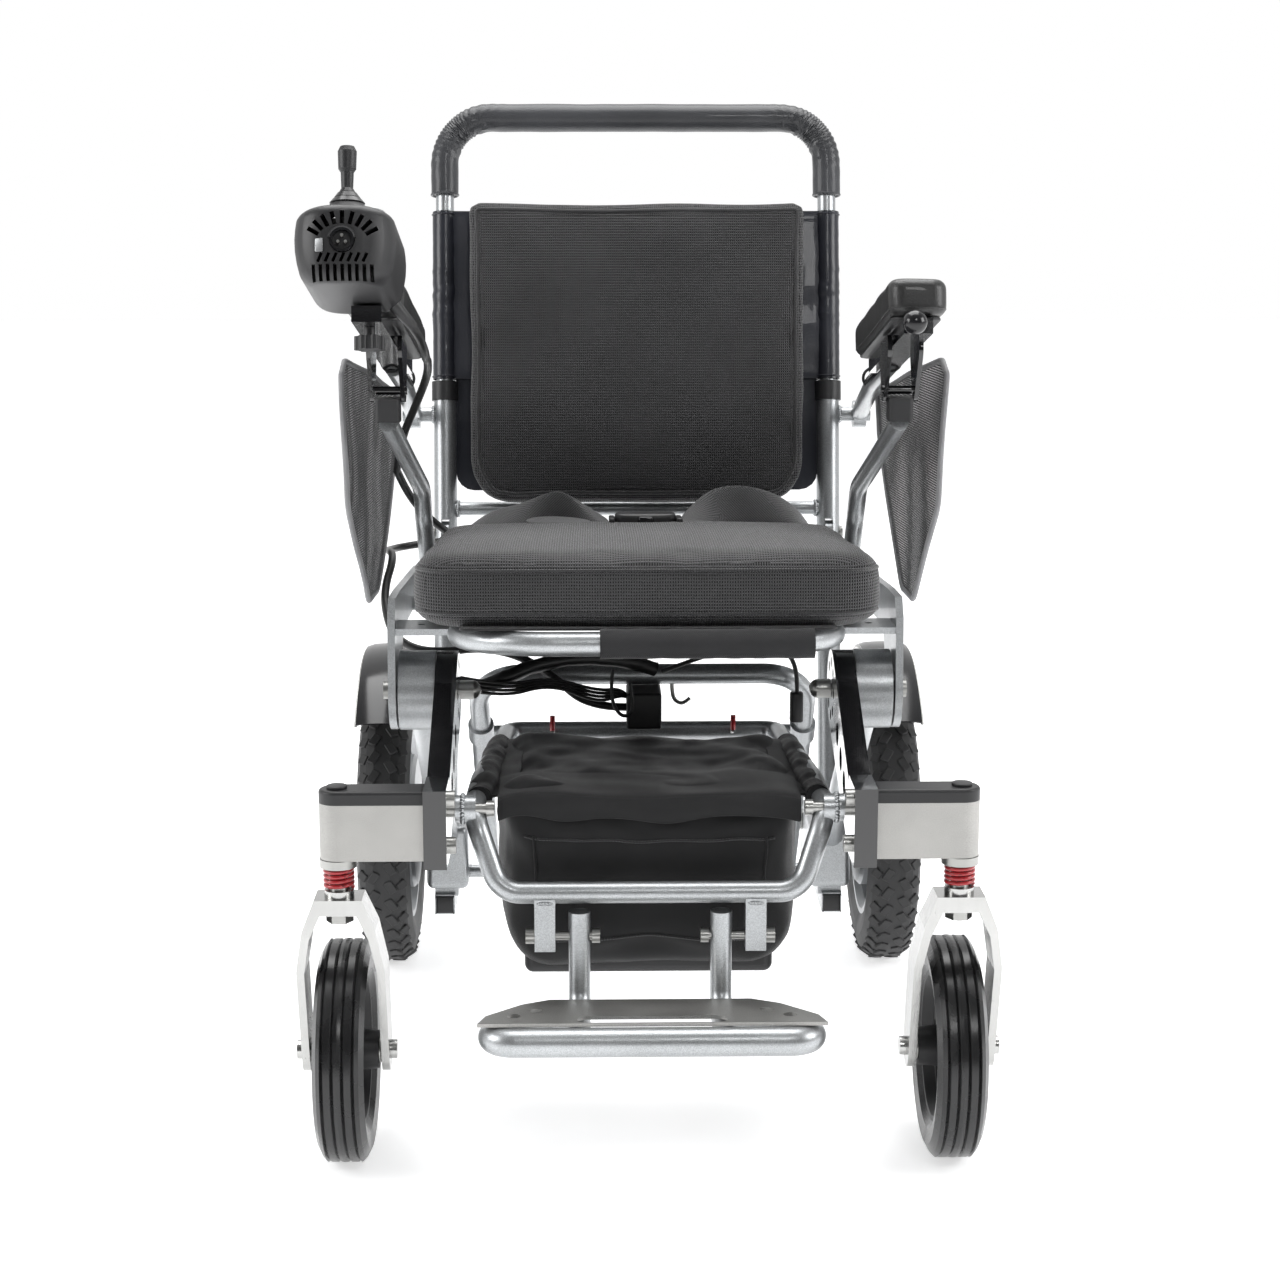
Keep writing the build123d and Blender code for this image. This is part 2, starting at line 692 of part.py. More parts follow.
with BuildPart() as hanger_frame:
    hanger_points = [
        (0, hanger_front_y, hanger_front_z), (hanger_front_x, hanger_front_y, hanger_front_z),
        (155, y_hanger_pivot - 2, z_hanger_pivot - 2), (152, -250, 331),
        (hanger_rear_x, hanger_rear_y, hanger_rear_z), (0, hanger_rear_y, hanger_rear_z),
    ]
    add(tube(hanger_tube_diameter, hanger_points, radii=[26, 30, 30, 16]))
    add(rod(24, 152, 170, y_hanger_pivot, z_hanger_pivot))
    add(rod(12, hanger_rear_x + 4, bow_x - collar_radius - 0.5, hanger_rear_y, hanger_rear_z))
    add(block((foot_bracket_x - 9, foot_bracket_x + 9), (footrest_pivot_y - 9, footrest_pivot_y + 9),
              (footrest_pivot_z - 12, hanger_front_z - 4)))
    mirror(about=Plane.YZ)
    add(rod(10.1, -175, 175, y_hanger_pivot, z_hanger_pivot), mode=Mode.SUBTRACT)
    add(rod(8.1, -110, 110, footrest_pivot_y, footrest_pivot_z), mode=Mode.SUBTRACT)
hanger_frame.part.label = "hanger_frame"
export_step(hanger_frame.part, "parts/hanger_frame.step")

with BuildPart() as hanger_bolts:
    add(rod(8, 46, 108, footrest_pivot_y, footrest_pivot_z))
    add(rod(14, 101.2, 109, footrest_pivot_y, footrest_pivot_z))
    add(rod(13, 44, 51, footrest_pivot_y, footrest_pivot_z))
    mirror(about=Plane.YZ)
hanger_bolts.part.label = "hanger_bolts"
export_step(hanger_bolts.part, "parts/hanger_bolts.step")

bag_half_width = 131.3
bag_wall = 3
bag_bottom_z = 163
bag_top_z = 344
bag_front_y = y_hanger_pivot + 16
bag_rear_y = -92
with BuildPart() as battery_bag:
    spans = ((-bag_half_width, bag_half_width), (bag_front_y, bag_rear_y), (bag_bottom_z, bag_top_z))
    add(block(*spans, edge=14))
    cavity = [(low + bag_wall, high - bag_wall) for low, high in spans]
    add(block(*cavity, edge=11), mode=Mode.SUBTRACT)
    zip_mouth = ((-60, 60), (bag_rear_y - 30, bag_rear_y + 5), (bag_top_z - 40, bag_top_z - 10))
    add(block(*zip_mouth), mode=Mode.SUBTRACT)
battery_bag.part.label = "battery_bag"
export_step(battery_bag.part, "parts/battery_bag.step")

with BuildPart() as battery_pack:
    pack_floor = bag_bottom_z + bag_wall + body_gap
    add(block((-112, 112), (bag_front_y + 22, bag_rear_y - 34), (pack_floor, 300), edge=8))
battery_pack.part.label = "battery_pack"
export_step(battery_pack.part, "parts/battery_pack.step")

# Two tubes hang on the hanger's brackets and bend forward into the footplate's loop.
with BuildPart() as footrest_frame:
    foot_points = [
        (foot_tube_x, footrest_pivot_y, footrest_pivot_z + 22), (foot_tube_x, footrest_pivot_y, 152),
        (foot_tube_x, footplate_y, footplate_z),
    ]
    add(tube(foot_tube_diameter, foot_points, radii=24))
    loop_points = [
        (0, footplate_y, footplate_z), (footplate_half_width, footplate_y, footplate_z),
        (footplate_half_width - 62, footplate_y + 78, footplate_z - 6),
    ]
    add(tube(footplate_tube_diameter, loop_points, radii=20))
    stay_start = (footplate_half_width - 68, footplate_y + 72, footplate_z - 6)
    stay_end = (foot_tube_x, footplate_y + 84, footplate_z - 6)
    add(tube(foot_tube_diameter, [stay_start, stay_end]))
    mirror(about=Plane.YZ)
    add(rod(8.1, -110, 110, footrest_pivot_y, footrest_pivot_z), mode=Mode.SUBTRACT)
footrest_frame.part.label = "footrest_frame"
export_step(footrest_frame.part, "parts/footrest_frame.step")

plate_tilt = 4
plate_plane = Plane(origin=(0, footplate_y, footplate_z + 13.2), x_dir=(1, 0, 0),
                    z_dir=(0, sin(radians(plate_tilt)), cos(radians(plate_tilt))))
with BuildPart() as footplate:
    with BuildSketch(plate_plane):
        with BuildLine():
            Polyline(
                (-148, 2), (148, 2), (142, 26), (112, 62), (88, 77), (-88, 77), (-112, 62),
                (-142, 26), close=True,
            )
        make_face()
        with Locations((0, 14)):
            SlotOverall(128, 20, mode=Mode.SUBTRACT)
        for x in (-118, 118):
            for y in (26, 42):
                with Locations((x * (1 - (y - 26) / 100), y)):
                    Circle(6, mode=Mode.SUBTRACT)
    extrude(amount=3)
footplate.part.label = "footplate"
export_step(footplate.part, "parts/footplate.step")

# ================= back =================

with BuildPart() as back_frame:
    add(tube(post_diameter, [on_post(post_x, hinge_z - 13), on_post(post_x, post_top_z)]))
    add(rod(back_rod_diameter, 0, post_x, post_y(back_rod_z), back_rod_z))
    add(rod(stub_diameter, post_x, 259, post_y(stub_z), stub_z))
    with BuildSketch(Plane(origin=on_post(post_x, hinge_z), x_dir=(1, 0, 0), z_dir=back_up).offset(-30)):
        Rectangle(hinge_tongue + 1, 40)
    extrude(amount=44, mode=Mode.SUBTRACT)
    with BuildSketch(side_plane(post_x - post_diameter)):
        with Locations(Location((post_y(hinge_z), hinge_z, 0), (0, 0, -recline))):
            with Locations((0, -post_diameter / 2)):
                Rectangle(1.5 * post_diameter, post_diameter)
            Circle(post_diameter / 2, mode=Mode.SUBTRACT)
    extrude(amount=2 * post_diameter, mode=Mode.SUBTRACT)
    with BuildSketch(Plane(origin=on_post(post_x, post_top_z + 1), x_dir=(1, 0, 0), z_dir=-back_up)):
        Circle(push_tube_diameter / 2 + running)
    extrude(amount=72, mode=Mode.SUBTRACT)
    mirror(about=Plane.YZ)
    add(rod(hinge_bore, -240, 240, post_y(hinge_z), hinge_z), mode=Mode.SUBTRACT)
back_frame.part.label = "back_frame"
export_step(back_frame.part, "parts/back_frame.step")

with BuildPart() as post_collars:
    collar_base = Plane(origin=on_post(post_x, post_top_z), x_dir=(1, 0, 0), z_dir=back_up)
    with BuildSketch(collar_base.offset(-4)):
        Circle(post_diameter / 2 + collar_wall)
        Circle(post_diameter / 2 + running, mode=Mode.SUBTRACT)
    extrude(amount=4)
    with BuildSketch(collar_base):
        Circle(post_diameter / 2 + collar_wall)
        Circle(push_tube_diameter / 2 + running, mode=Mode.SUBTRACT)
    extrude(amount=17)
    mirror(about=Plane.YZ)
post_collars.part.label = "post_collars"
export_step(post_collars.part, "parts/post_collars.step")

push_points = [
    on_post(post_x, post_top_z - 68), on_post(post_x, handle_z), on_post(-post_x, handle_z),
    on_post(-post_x, post_top_z - 68),
]
with BuildPart() as push_tube:
    add(tube(push_tube_diameter, push_points, radii=52))
push_tube.part.label = "push_tube"
export_step(push_tube.part, "parts/push_tube.step")

grip_points = [
    on_post(post_x, grip_low_z), on_post(post_x, handle_z), on_post(-post_x, handle_z),
    on_post(-post_x, grip_low_z),
]
with BuildPart() as push_grip:
    add(tube(grip_diameter, grip_points, radii=52))
    add(tube(push_tube_diameter + 0.1, push_points, radii=52), mode=Mode.SUBTRACT)
push_grip.part.label = "push_grip"
export_step(push_grip.part, "parts/push_grip.step")

with BuildPart() as back_upholstery:
    pad_plane = Plane(origin=on_post(0, pad_bottom_z), x_dir=(1, 0, 0), z_dir=back_up)
    pad_height = (pad_top_z - pad_bottom_z) / cos(radians(recline))
    with BuildSketch(pad_plane):
        with Locations((0, -24)):
            Rectangle(2 * pad_half_width, pad_thickness - 8)
    extrude(amount=pad_height)
    fillet(back_upholstery.edges().filter_by(Axis((0, 0, 0), back_forward)), 34)
    fillet(back_upholstery.faces().sort_by(Axis((0, 0, 0), back_forward))[-1].edges(), 9)
    with BuildSketch(pad_plane.offset((sleeve_bottom_z - pad_bottom_z) / cos(radians(recline)))):
        for side in (-1, 1):
            with Locations((side * post_x, 0)):
                Circle(post_diameter / 2 + sleeve_wall)
        Rectangle(2 * post_x - 10, 6)
        with Locations((0, -5)):
            Rectangle(2 * pad_half_width - 60, 14)
    extrude(amount=(sleeve_top_z - sleeve_bottom_z) / cos(radians(recline)))
    add(tube(push_tube_diameter + 0.6, push_points, radii=52), mode=Mode.SUBTRACT)
back_upholstery.part.label = "back_upholstery"
export_step(back_upholstery.part, "parts/back_upholstery.step")

# ================= armrests =================

slope_up = Vector(0, sin(radians(pad_slope)), cos(radians(pad_slope)))
slope_back = Vector(0, cos(radians(pad_slope)), -sin(radians(pad_slope)))
pad_top_front = Vector(0, armrest_front_y, armrest_front_z)
stub_y = post_y(stub_z)
rail_depth = armrest_pad_thickness + body_gap
guard_rear = Vector(262, 236, 0)
guard_front = Vector(286, -119, 0)


def guard_x(y):
    """How far out the side guard stands at y."""
    return guard_rear.X + (guard_front.X - guard_rear.X) * (guard_rear.Y - y) / (guard_rear.Y - guard_front.Y)


def along_pad(x, back, down):
    """A point at x, so far back from the pad's front and so far below its top."""
    return pad_top_front + slope_back * back - slope_up * down + Vector(x, 0, 0)


for name, side in SIDES.items():
    with BuildPart() as armrest_pad:
        pad_corner = along_pad(armrest_x, 0, armrest_pad_thickness)
        pad_base = Plane(origin=pad_corner, x_dir=(1, 0, 0), z_dir=slope_up)
        with BuildSketch(pad_base):
            with Locations((0, armrest_pad_length / 2)):
                RectangleRounded(armrest_pad_width, armrest_pad_length, 14)
        extrude(amount=armrest_pad_thickness)
        fillet(armrest_pad.edges().group_by(Axis((0, 0, 0), slope_up))[-1], 10)
        if side < 0:
            mirror(about=Plane.YZ, mode=Mode.REPLACE)
    armrest_pad.part.label = f"armrest_pad_{name}"
    export_step(armrest_pad.part, f"parts/armrest_pad_{name}.step")

    with BuildPart() as armrest_frame:
        rail_start = -70 if side < 0 else 4
        rail_plane = Plane(origin=along_pad(armrest_x, 0, rail_depth + 14), x_dir=(1, 0, 0), z_dir=slope_up)
        with BuildSketch(rail_plane):
            with Locations((0, (rail_start + 285) / 2)):
                Rectangle(26, 285 - rail_start)
        extrude(amount=14)
        tail = along_pad(armrest_x + 4, 262, rail_depth + 10)
        eye = Vector(armrest_x + 4, stub_y, stub_z)
        add(tube(19, [eye, (eye + tail) / 2 + Vector(0, -6, 10), tail], radii=60))
        add(rod(30, armrest_x - 3, armrest_x + 11, stub_y, stub_z))
        eye_bore = stub_diameter + 2 * running
        add(rod(eye_bore, armrest_x - 20, armrest_x + 30, stub_y, stub_z), mode=Mode.SUBTRACT)
        for plate_x in (armrest_x - 2 - 12.5 - 4, armrest_x - 2 + 12.5):
            with BuildSketch(side_plane(plate_x)):
                with Locations((clevis_y, clevis_z)):
                    Circle(11)
                with Locations((clevis_y - 24, 716)):
                    Circle(13)
                with Locations((clevis_y + 16, 708)):
                    Circle(12)
                make_hull()
            extrude(amount=4)
        add(rod(8, armrest_x - 20, armrest_x + 16, clevis_y, clevis_z))
        add(rod(6, armrest_x + 4, guard_x(150) - 3 - body_gap, 150, 652))
        if side < 0:
            mirror(about=Plane.YZ, mode=Mode.REPLACE)
    armrest_frame.part.label = f"armrest_frame_{name}"
    export_step(armrest_frame.part, f"parts/armrest_frame_{name}.step")

    with BuildPart() as side_guard:
        run = guard_front - guard_rear
        guard_plane = Plane(origin=guard_rear, x_dir=run, z_dir=run.cross(Vector(0, 0, 1)))
        reach = run.length
        with BuildSketch(guard_plane):
            with BuildLine():
                Polyline(
                    (0, 640), (8, 596), (reach * 0.45, 452), (reach * 0.62, 450),
                    (reach * 0.93, 560), (reach, 690), (reach * 0.93, 702), (reach * 0.5, 676),
                    close=True,
                )
            make_face()
        extrude(amount=3)
        if side < 0:
            mirror(about=Plane.YZ, mode=Mode.REPLACE)
    side_guard.part.label = f"side_guard_{name}"
    export_step(side_guard.part, f"parts/side_guard_{name}.step")

# A ball knob locks the empty rail under the left armrest.
with BuildPart() as rail_knob_left:
    knob_at = along_pad(armrest_x - 6, 4 - body_gap, rail_depth + 7)
    with BuildSketch(Plane(origin=knob_at, x_dir=(1, 0, 0), z_dir=-slope_back)):
        Circle(4)
    extrude(amount=16)
    with Locations(knob_at - slope_back * 20):
        Sphere(11)
rail_knob_left.part.label = "rail_knob_left"
export_step(rail_knob_left.part, "parts/rail_knob_left.step")

# A star knob clamps the controller's rail under the right armrest.
with BuildPart() as clamp_knob_right:
    star_at = along_pad(-armrest_x, -40, rail_depth + 14 + body_gap)
    star_plane = Plane(origin=star_at, x_dir=(1, 0, 0), z_dir=-slope_up)
    with BuildSketch(star_plane):
        Circle(5)
    extrude(amount=10)
    with BuildSketch(star_plane.offset(8)):
        Circle(11)
        with PolarLocations(10, 6):
            Circle(3.5)
    extrude(amount=12)
clamp_knob_right.part.label = "clamp_knob_right"
export_step(clamp_knob_right.part, "parts/clamp_knob_right.step")

# ================= controller =================

controller_up = Vector(0, sin(radians(controller_pitch)), cos(radians(controller_pitch)))
deck = Plane(origin=(controller_x, controller_y, controller_z), x_dir=(1, 0, 0), z_dir=controller_up)
half_height = controller_height / 2
panel_thickness = 3
stick_y = -38
pivot_height = half_height - 9
gimbal_width = 22
stick_hole_diameter = 43

with BuildPart() as controller_shell:
    with BuildSketch(deck.offset(-half_height)):
        RectangleRounded(controller_width, controller_length, 30)
    extrude(amount=controller_height)
    fillet(controller_shell.edges().group_by(Axis((0, 0, 0), controller_up))[0], 18)
    fillet(controller_shell.edges().group_by(Axis((0, 0, 0), controller_up))[-1], 4)
    with BuildSketch(deck.offset(half_height - panel_thickness)):
        RectangleRounded(controller_width - 8, controller_length - 8, 26)
    extrude(amount=panel_thickness + 1, mode=Mode.SUBTRACT)
    with BuildSketch(deck.offset(wall - half_height + 8)):
        RectangleRounded(controller_width - 2 * wall - 10, controller_length - 2 * wall - 10, 22)
    extrude(amount=controller_height - 10, mode=Mode.SUBTRACT)
    with BuildSketch(Plane(origin=deck.from_local_coords(Vector(0, -controller_length / 2 - 1, -2)),
                           x_dir=(1, 0, 0), z_dir=-deck.y_dir)):
        Circle(9)
    extrude(amount=-12, mode=Mode.SUBTRACT)
    stick_pivot = deck.from_local_coords(Vector(0, stick_y, pivot_height))
    for side in (-1, 1):
        boss_from = controller_x + side * (gimbal_width / 2 + body_gap)
        add(rod(8, boss_from, controller_x + side * 36, stick_pivot.Y, stick_pivot.Z))
    gland = (-219.4, -266.7, 760.6)
    gland_axis = Vector(15.4, 9.7, -19.6).normalized()
    with BuildSketch(Plane(origin=gland, z_dir=-gland_axis)):
        Circle(6.5)
    extrude(amount=14)
controller_shell.part.label = "controller_shell"
export_step(controller_shell.part, "parts/controller_shell.step")

with BuildPart() as controller_panel:
    with BuildSketch(deck.offset(half_height - panel_thickness)):
        RectangleRounded(controller_width - 8.2, controller_length - 8.2, 25.9)
        with Locations((0, stick_y)):
            Circle(stick_hole_diameter / 2, mode=Mode.SUBTRACT)
        with Locations((0, 46)):
            RectangleRounded(20.6, 14.6, 3.3, mode=Mode.SUBTRACT)
    extrude(amount=panel_thickness)
controller_panel.part.label = "controller_panel"
export_step(controller_panel.part, "parts/controller_panel.step")

with BuildPart() as power_button:
    with BuildSketch(deck.offset(half_height - 5)):
        with Locations((0, 46)):
            RectangleRounded(20, 14, 3)
    extrude(amount=6.5)
power_button.part.label = "power_button"
export_step(power_button.part, "parts/power_button.step")

pivot = deck.from_local_coords(Vector(0, stick_y, pivot_height))
pivot_plane = Plane(origin=pivot, x_dir=(1, 0, 0), z_dir=controller_up)
with BuildPart() as joystick_gimbal:
    with BuildSketch(pivot_plane.offset(-3)):
        Rectangle(gimbal_width, gimbal_width)
        Rectangle(gimbal_width - 6, gimbal_width - 6, mode=Mode.SUBTRACT)
    extrude(amount=6)
joystick_gimbal.part.label = "joystick_gimbal"
export_step(joystick_gimbal.part, "parts/joystick_gimbal.step")

with BuildPart() as joystick_stick:
    with BuildSketch(Plane(origin=pivot, x_dir=(1, 0, 0), z_dir=-pivot_plane.y_dir)):
        with BuildLine():
            Polyline(
                (0, -3), (5, -3), (5, 3), (3, 3), (3, 15.4), (8, 16.9), (13.5, 14.3), (16.4, 10.2),
                (18.7, 9.4), (17, 13), (14.3, 17), (8, 24), (5, 30), (5.5, 44), (7.5, 47), (8, 62),
                (6, 66), (0, 66), close=True,
            )
        make_face()
    revolve(axis=Axis(pivot, controller_up))
    pin_reach = gimbal_width / 2 - 3 - body_gap
    with BuildSketch(Plane(origin=pivot - pivot_plane.y_dir * pin_reach, z_dir=pivot_plane.y_dir)):
        Circle(2)
    extrude(amount=2 * pin_reach)
joystick_stick.part.label = "joystick_stick"
export_step(joystick_stick.part, "parts/joystick_stick.step")

# The control lead runs from the controller down beside the right armrest, loops once behind
# the cushion, and comes forward under the seat plate to the power unit.
cable_diameter = 8
cable_points = [
    (-219.4, -266.7, 760.6), (-204, -257, 741), (-199, -228, 722), (-201, -180, 710),
    (-203, -124, 704), (-207, -72, 686), (-222, -30, 653), (-240, 4, 616), (-248, 46, 580),
    (-240, 88, 548), (-221, 120, 520), (-204, 150, 501), (-198, 184, 490), (-208, 214, 482),
    (-236, 228, 477), (-262, 212, 475), (-270, 180, 477), (-266, 140, 483), (-258, 96, 487),
    (-255, 48, 483), (-258, 4, 470),
    (-256, -36, 453), (-246, -68, 432), (-224, -84, 420), (-194, -82, 417), (-160, -74, 420),
    (-122, -82, 414), (-88, -98, 396), (-54, -94, 364), (-17, -94, 364),
]


def cord_radii(points):
    """The radius of each bend, as large as the two runs beside it allow."""
    radii = []
    for before, at, after in zip(points, points[1:], points[2:]):
        run_in = Vector(*at) - Vector(*before)
        run_out = Vector(*after) - Vector(*at)
        half_turn = radians(run_in.get_angle(run_out)) / 2
        radii.append(0.45 * min(run_in.length, run_out.length) / tan(half_turn))
    return radii


cable_radii = cord_radii(cable_points)
print("joystick cable radii", [round(radius, 1) for radius in cable_radii])
with BuildPart() as joystick_cable:
    add(tube(cable_diameter, cable_points, radii=cable_radii))
cable_section = pi * (cable_diameter / 2) ** 2
print("joystick cable length", round(joystick_cable.part.volume / cable_section))
joystick_cable.part.label = "joystick_cable"
export_step(joystick_cable.part, "parts/joystick_cable.step")
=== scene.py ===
"""Dresses the folding power wheelchair: fabrics, moulded parts, tyres, wiring and finishes.

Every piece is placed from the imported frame, in metres: +X the occupant's left, +Y the rear.
"""

import json
import math

import bmesh
import bpy
from mathutils import Matrix, Vector, noise
from mathutils.bvhtree import BVHTree


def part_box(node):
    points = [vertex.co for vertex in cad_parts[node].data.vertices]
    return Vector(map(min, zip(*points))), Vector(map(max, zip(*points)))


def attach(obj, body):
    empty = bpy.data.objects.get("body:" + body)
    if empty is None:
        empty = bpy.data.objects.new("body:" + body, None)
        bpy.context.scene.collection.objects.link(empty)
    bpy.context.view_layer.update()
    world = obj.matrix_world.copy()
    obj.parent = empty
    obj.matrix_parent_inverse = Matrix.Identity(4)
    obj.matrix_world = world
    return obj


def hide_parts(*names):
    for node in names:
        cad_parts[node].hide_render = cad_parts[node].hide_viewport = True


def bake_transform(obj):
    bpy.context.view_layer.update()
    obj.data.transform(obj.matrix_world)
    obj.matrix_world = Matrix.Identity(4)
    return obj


bl_info = {
    "name": "Folding Power Wheelchair",
    "version": (1, 0, 0),
    "blender": (4, 5, 0),
    "location": "View3D > Sidebar > Wheelchair",
    "description": "Builds the fabrics, mouldings, tyres and finishes of a folding power wheelchair",
    "category": "Add Mesh",
}

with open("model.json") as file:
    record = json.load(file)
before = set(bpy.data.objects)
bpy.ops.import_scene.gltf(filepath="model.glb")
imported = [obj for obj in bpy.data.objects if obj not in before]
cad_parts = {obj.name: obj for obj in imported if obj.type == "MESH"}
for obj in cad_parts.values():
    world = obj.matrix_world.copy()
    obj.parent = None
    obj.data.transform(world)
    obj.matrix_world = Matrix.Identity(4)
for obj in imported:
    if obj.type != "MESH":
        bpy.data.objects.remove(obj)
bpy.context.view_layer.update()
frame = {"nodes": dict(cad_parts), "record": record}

MM = 0.001
SIDES = {"right": -1, "left": 1}
RECLINE = math.radians(11.9)
SEAT_TILT = math.radians(4.3)
PAD_SLOPE = math.radians(11.9)
CONTROLLER_PITCH = math.radians(14)
POST_X = 0.212
LEAD_DIAMETER = 8 * MM
BACK_UP = Vector((0, math.sin(RECLINE), math.cos(RECLINE)))
BACK_FORWARD = Vector((0, -math.cos(RECLINE), math.sin(RECLINE)))
shift = Matrix.Translation


def tilt(angle, axis):
    return Matrix.Rotation(angle, 4, axis)


# ---------------------------------------------------------------- shader maths


class Value:
    """A shader socket with the usual operators, so maths reads as an expression."""

    def __init__(self, look, socket):
        self.look = look
        self.socket = socket

    def _math(self, operation, first, second=None, clamp=False):
        inputs = {0: first}
        if second is not None:
            inputs[1] = second
        settings = {"operation": operation, "use_clamp": clamp}
        return self.look.node("Math", settings, inputs).out()

    def __add__(self, other):
        return self._math("ADD", self, other)

    def __sub__(self, other):
        return self._math("SUBTRACT", self, other)

    def __mul__(self, other):
        return self._math("MULTIPLY", self, other)

    def __truediv__(self, other):
        return self._math("DIVIDE", self, other)

    def __rsub__(self, other):
        return self._math("SUBTRACT", other, self)

    __radd__ = __add__
    __rmul__ = __mul__

    def sine(self):
        return self._math("SINE", self)

    def abs(self):
        return self._math("ABSOLUTE", self)

    def clamp(self):
        return self._math("ADD", self, 0.0, clamp=True)

    def ramp(self, low, high):
        """0 below low, 1 above high, straight between."""
        return ((self - low) / (high - low)).clamp()


class Made:
    """A shader node with short ways to its outputs."""

    def __init__(self, look, node):
        self.look = look
        self.node = node

    def out(self, name=0):
        return Value(self.look, self.node.outputs[name])


class Look:
    """A material under construction."""

    def __init__(self, name, colour, roughness, metallic=0.0, **fixed):
        self.material = bpy.data.materials.new(name)
        self.material.use_nodes = True
        self.tree = self.material.node_tree
        self.shader = self.tree.nodes["Principled BSDF"]
        self.set(**{"Base Color": (*colour, 1), "Roughness": roughness, "Metallic": metallic})
        self.set(**{key.replace("_", " "): value for key, value in fixed.items()})
        self.colour = colour
        self.object = self.node("TexCoord").out("Object")

    def node(self, kind, settings=None, inputs=None):
        made = self.tree.nodes.new("ShaderNode" + kind)
        for name, value in (settings or {}).items():
            setattr(made, name, value)
        for key, value in (inputs or {}).items():
            if isinstance(value, Value):
                self.tree.links.new(value.socket, made.inputs[key])
            else:
                made.inputs[key].default_value = value
        return Made(self, made)

    def set(self, **sockets):
        for name, value in sockets.items():
            if isinstance(value, Value):
                self.tree.links.new(value.socket, self.shader.inputs[name])
            else:
                self.shader.inputs[name].default_value = value

    def noise(self, scale, detail=3.0, at=None):
        inputs = {"Vector": at or self.object, "Scale": scale, "Detail": detail}
        return self.node("TexNoise", None, inputs).out("Fac")

    def cells(self, scale):
        return self.node("TexVoronoi", None, {"Vector": self.object, "Scale": scale}).out("Distance")

    def stretched(self, scales):
        """Object coordinates squeezed differently along each axis."""
        return self.node("Mapping", None, {"Vector": self.object, "Scale": scales}).out()

    def parts(self, vector):
        split = self.node("SeparateXYZ", None, {0: vector})
        return split.out(0), split.out(1), split.out(2)

    def cloth_uv(self):
        uv = self.node("UVMap", {"uv_map": "cloth"}).out()
        along, across, unused = self.parts(uv)
        return along, across

    def blend(self, mask, low, high):
        inputs = {0: mask, 6: (*low, 1), 7: (*high, 1)}
        return self.node("Mix", {"data_type": "RGBA"}, inputs).out(2)

    def bump(self, height, distance, strength=1.0, under=None):
        inputs = {"Height": height, "Distance": distance, "Strength": strength}
        if under:
            inputs["Normal"] = under
        return self.node("Bump", None, inputs).out()


def shade(colour, factor):
    return tuple(min(1.0, part * factor) for part in colour)


def silver_paint():
    """Silver powder coat with fine metal flake and a faint orange peel."""
    look = Look("silver_powder_coat", (0.43, 0.445, 0.455), 0.36, 0.85, Coat_Weight=0.2)
    flake = look.node("TexVoronoi", None, {"Vector": look.object, "Scale": 1900}).out("Color")
    sparkle, unused, unused = look.parts(flake)
    cloud = look.noise(9, 2)
    tone = (sparkle * 0.5 + cloud * 0.5).ramp(0.2, 0.8)
    look.set(**{"Base Color": look.blend(tone, shade(look.colour, 0.72), shade(look.colour, 1.22))})
    look.set(Roughness=0.27 + look.noise(40) * 0.2)
    look.set(Normal=look.bump(look.noise(900, 2), 0.00012, 0.5))
    return look.material


def black_paint():
    """Deep gloss black with orange peel and a few dull rubs."""
    look = Look("gloss_black_paint", (0.006, 0.006, 0.007), 0.09, 0.0, Coat_Weight=0.8, Coat_Roughness=0.05)
    rub = look.noise(22, 6).ramp(0.52, 0.75)
    look.set(Roughness=0.07 + rub * 0.22)
    look.set(Normal=look.bump(look.noise(260, 2), 0.0004, 0.25))
    return look.material


def grained_metal(name, colour, roughness, grain, scales, depth):
    """Bare metal whose grain runs the way its scales stretch it."""
    look = Look(name, colour, roughness, 0.95)
    streak = look.noise(grain, 4, look.stretched(scales))
    cloud = look.noise(14, 3)
    look.set(**{"Base Color": look.blend(cloud, shade(colour, 0.82), shade(colour, 1.1))})
    look.set(Roughness=roughness * 0.7 + streak * (roughness * 0.6))
    look.set(Normal=look.bump(streak, depth, 0.4))
    return look.material


def blasted_alloy():
    look = Look("blasted_alloy", (0.40, 0.395, 0.38), 0.42, 0.9)
    grit = look.noise(1500, 2)
    cloud = look.noise(18, 4)
    tone = (grit * 0.6 + cloud * 0.4).ramp(0.3, 0.7)
    look.set(**{"Base Color": look.blend(tone, (0.30, 0.297, 0.285), (0.50, 0.493, 0.475))})
    look.set(Roughness=0.36 + cloud * 0.16)
    look.set(Normal=look.bump(grit, 0.0002, 0.6))
    return look.material


def spring_paint():
    look = Look("red_spring_coat", (0.32, 0.012, 0.018), 0.28, 0.1, Coat_Weight=0.6)
    wear = look.noise(300, 4).ramp(0.6, 0.72)
    look.set(**{"Base Color": look.blend(wear, (0.36, 0.012, 0.018), (0.12, 0.01, 0.012))})
    look.set(Normal=look.bump(look.noise(700), 0.0001, 0.5))
    return look.material


def rubber(name, colour, roughness, depth):
    """Moulded rubber with a dusty bloom and a fine tooth."""
    look = Look(name, colour, roughness)
    bloom = look.noise(26, 6).ramp(0.45, 0.8)
    look.set(**{"Base Color": look.blend(bloom, colour, shade(colour, 2.1))})
    look.set(Roughness=roughness - 0.06 + bloom * 0.2)
    look.set(Normal=look.bump(look.noise(700, 3), depth, 0.5))
    return look.material


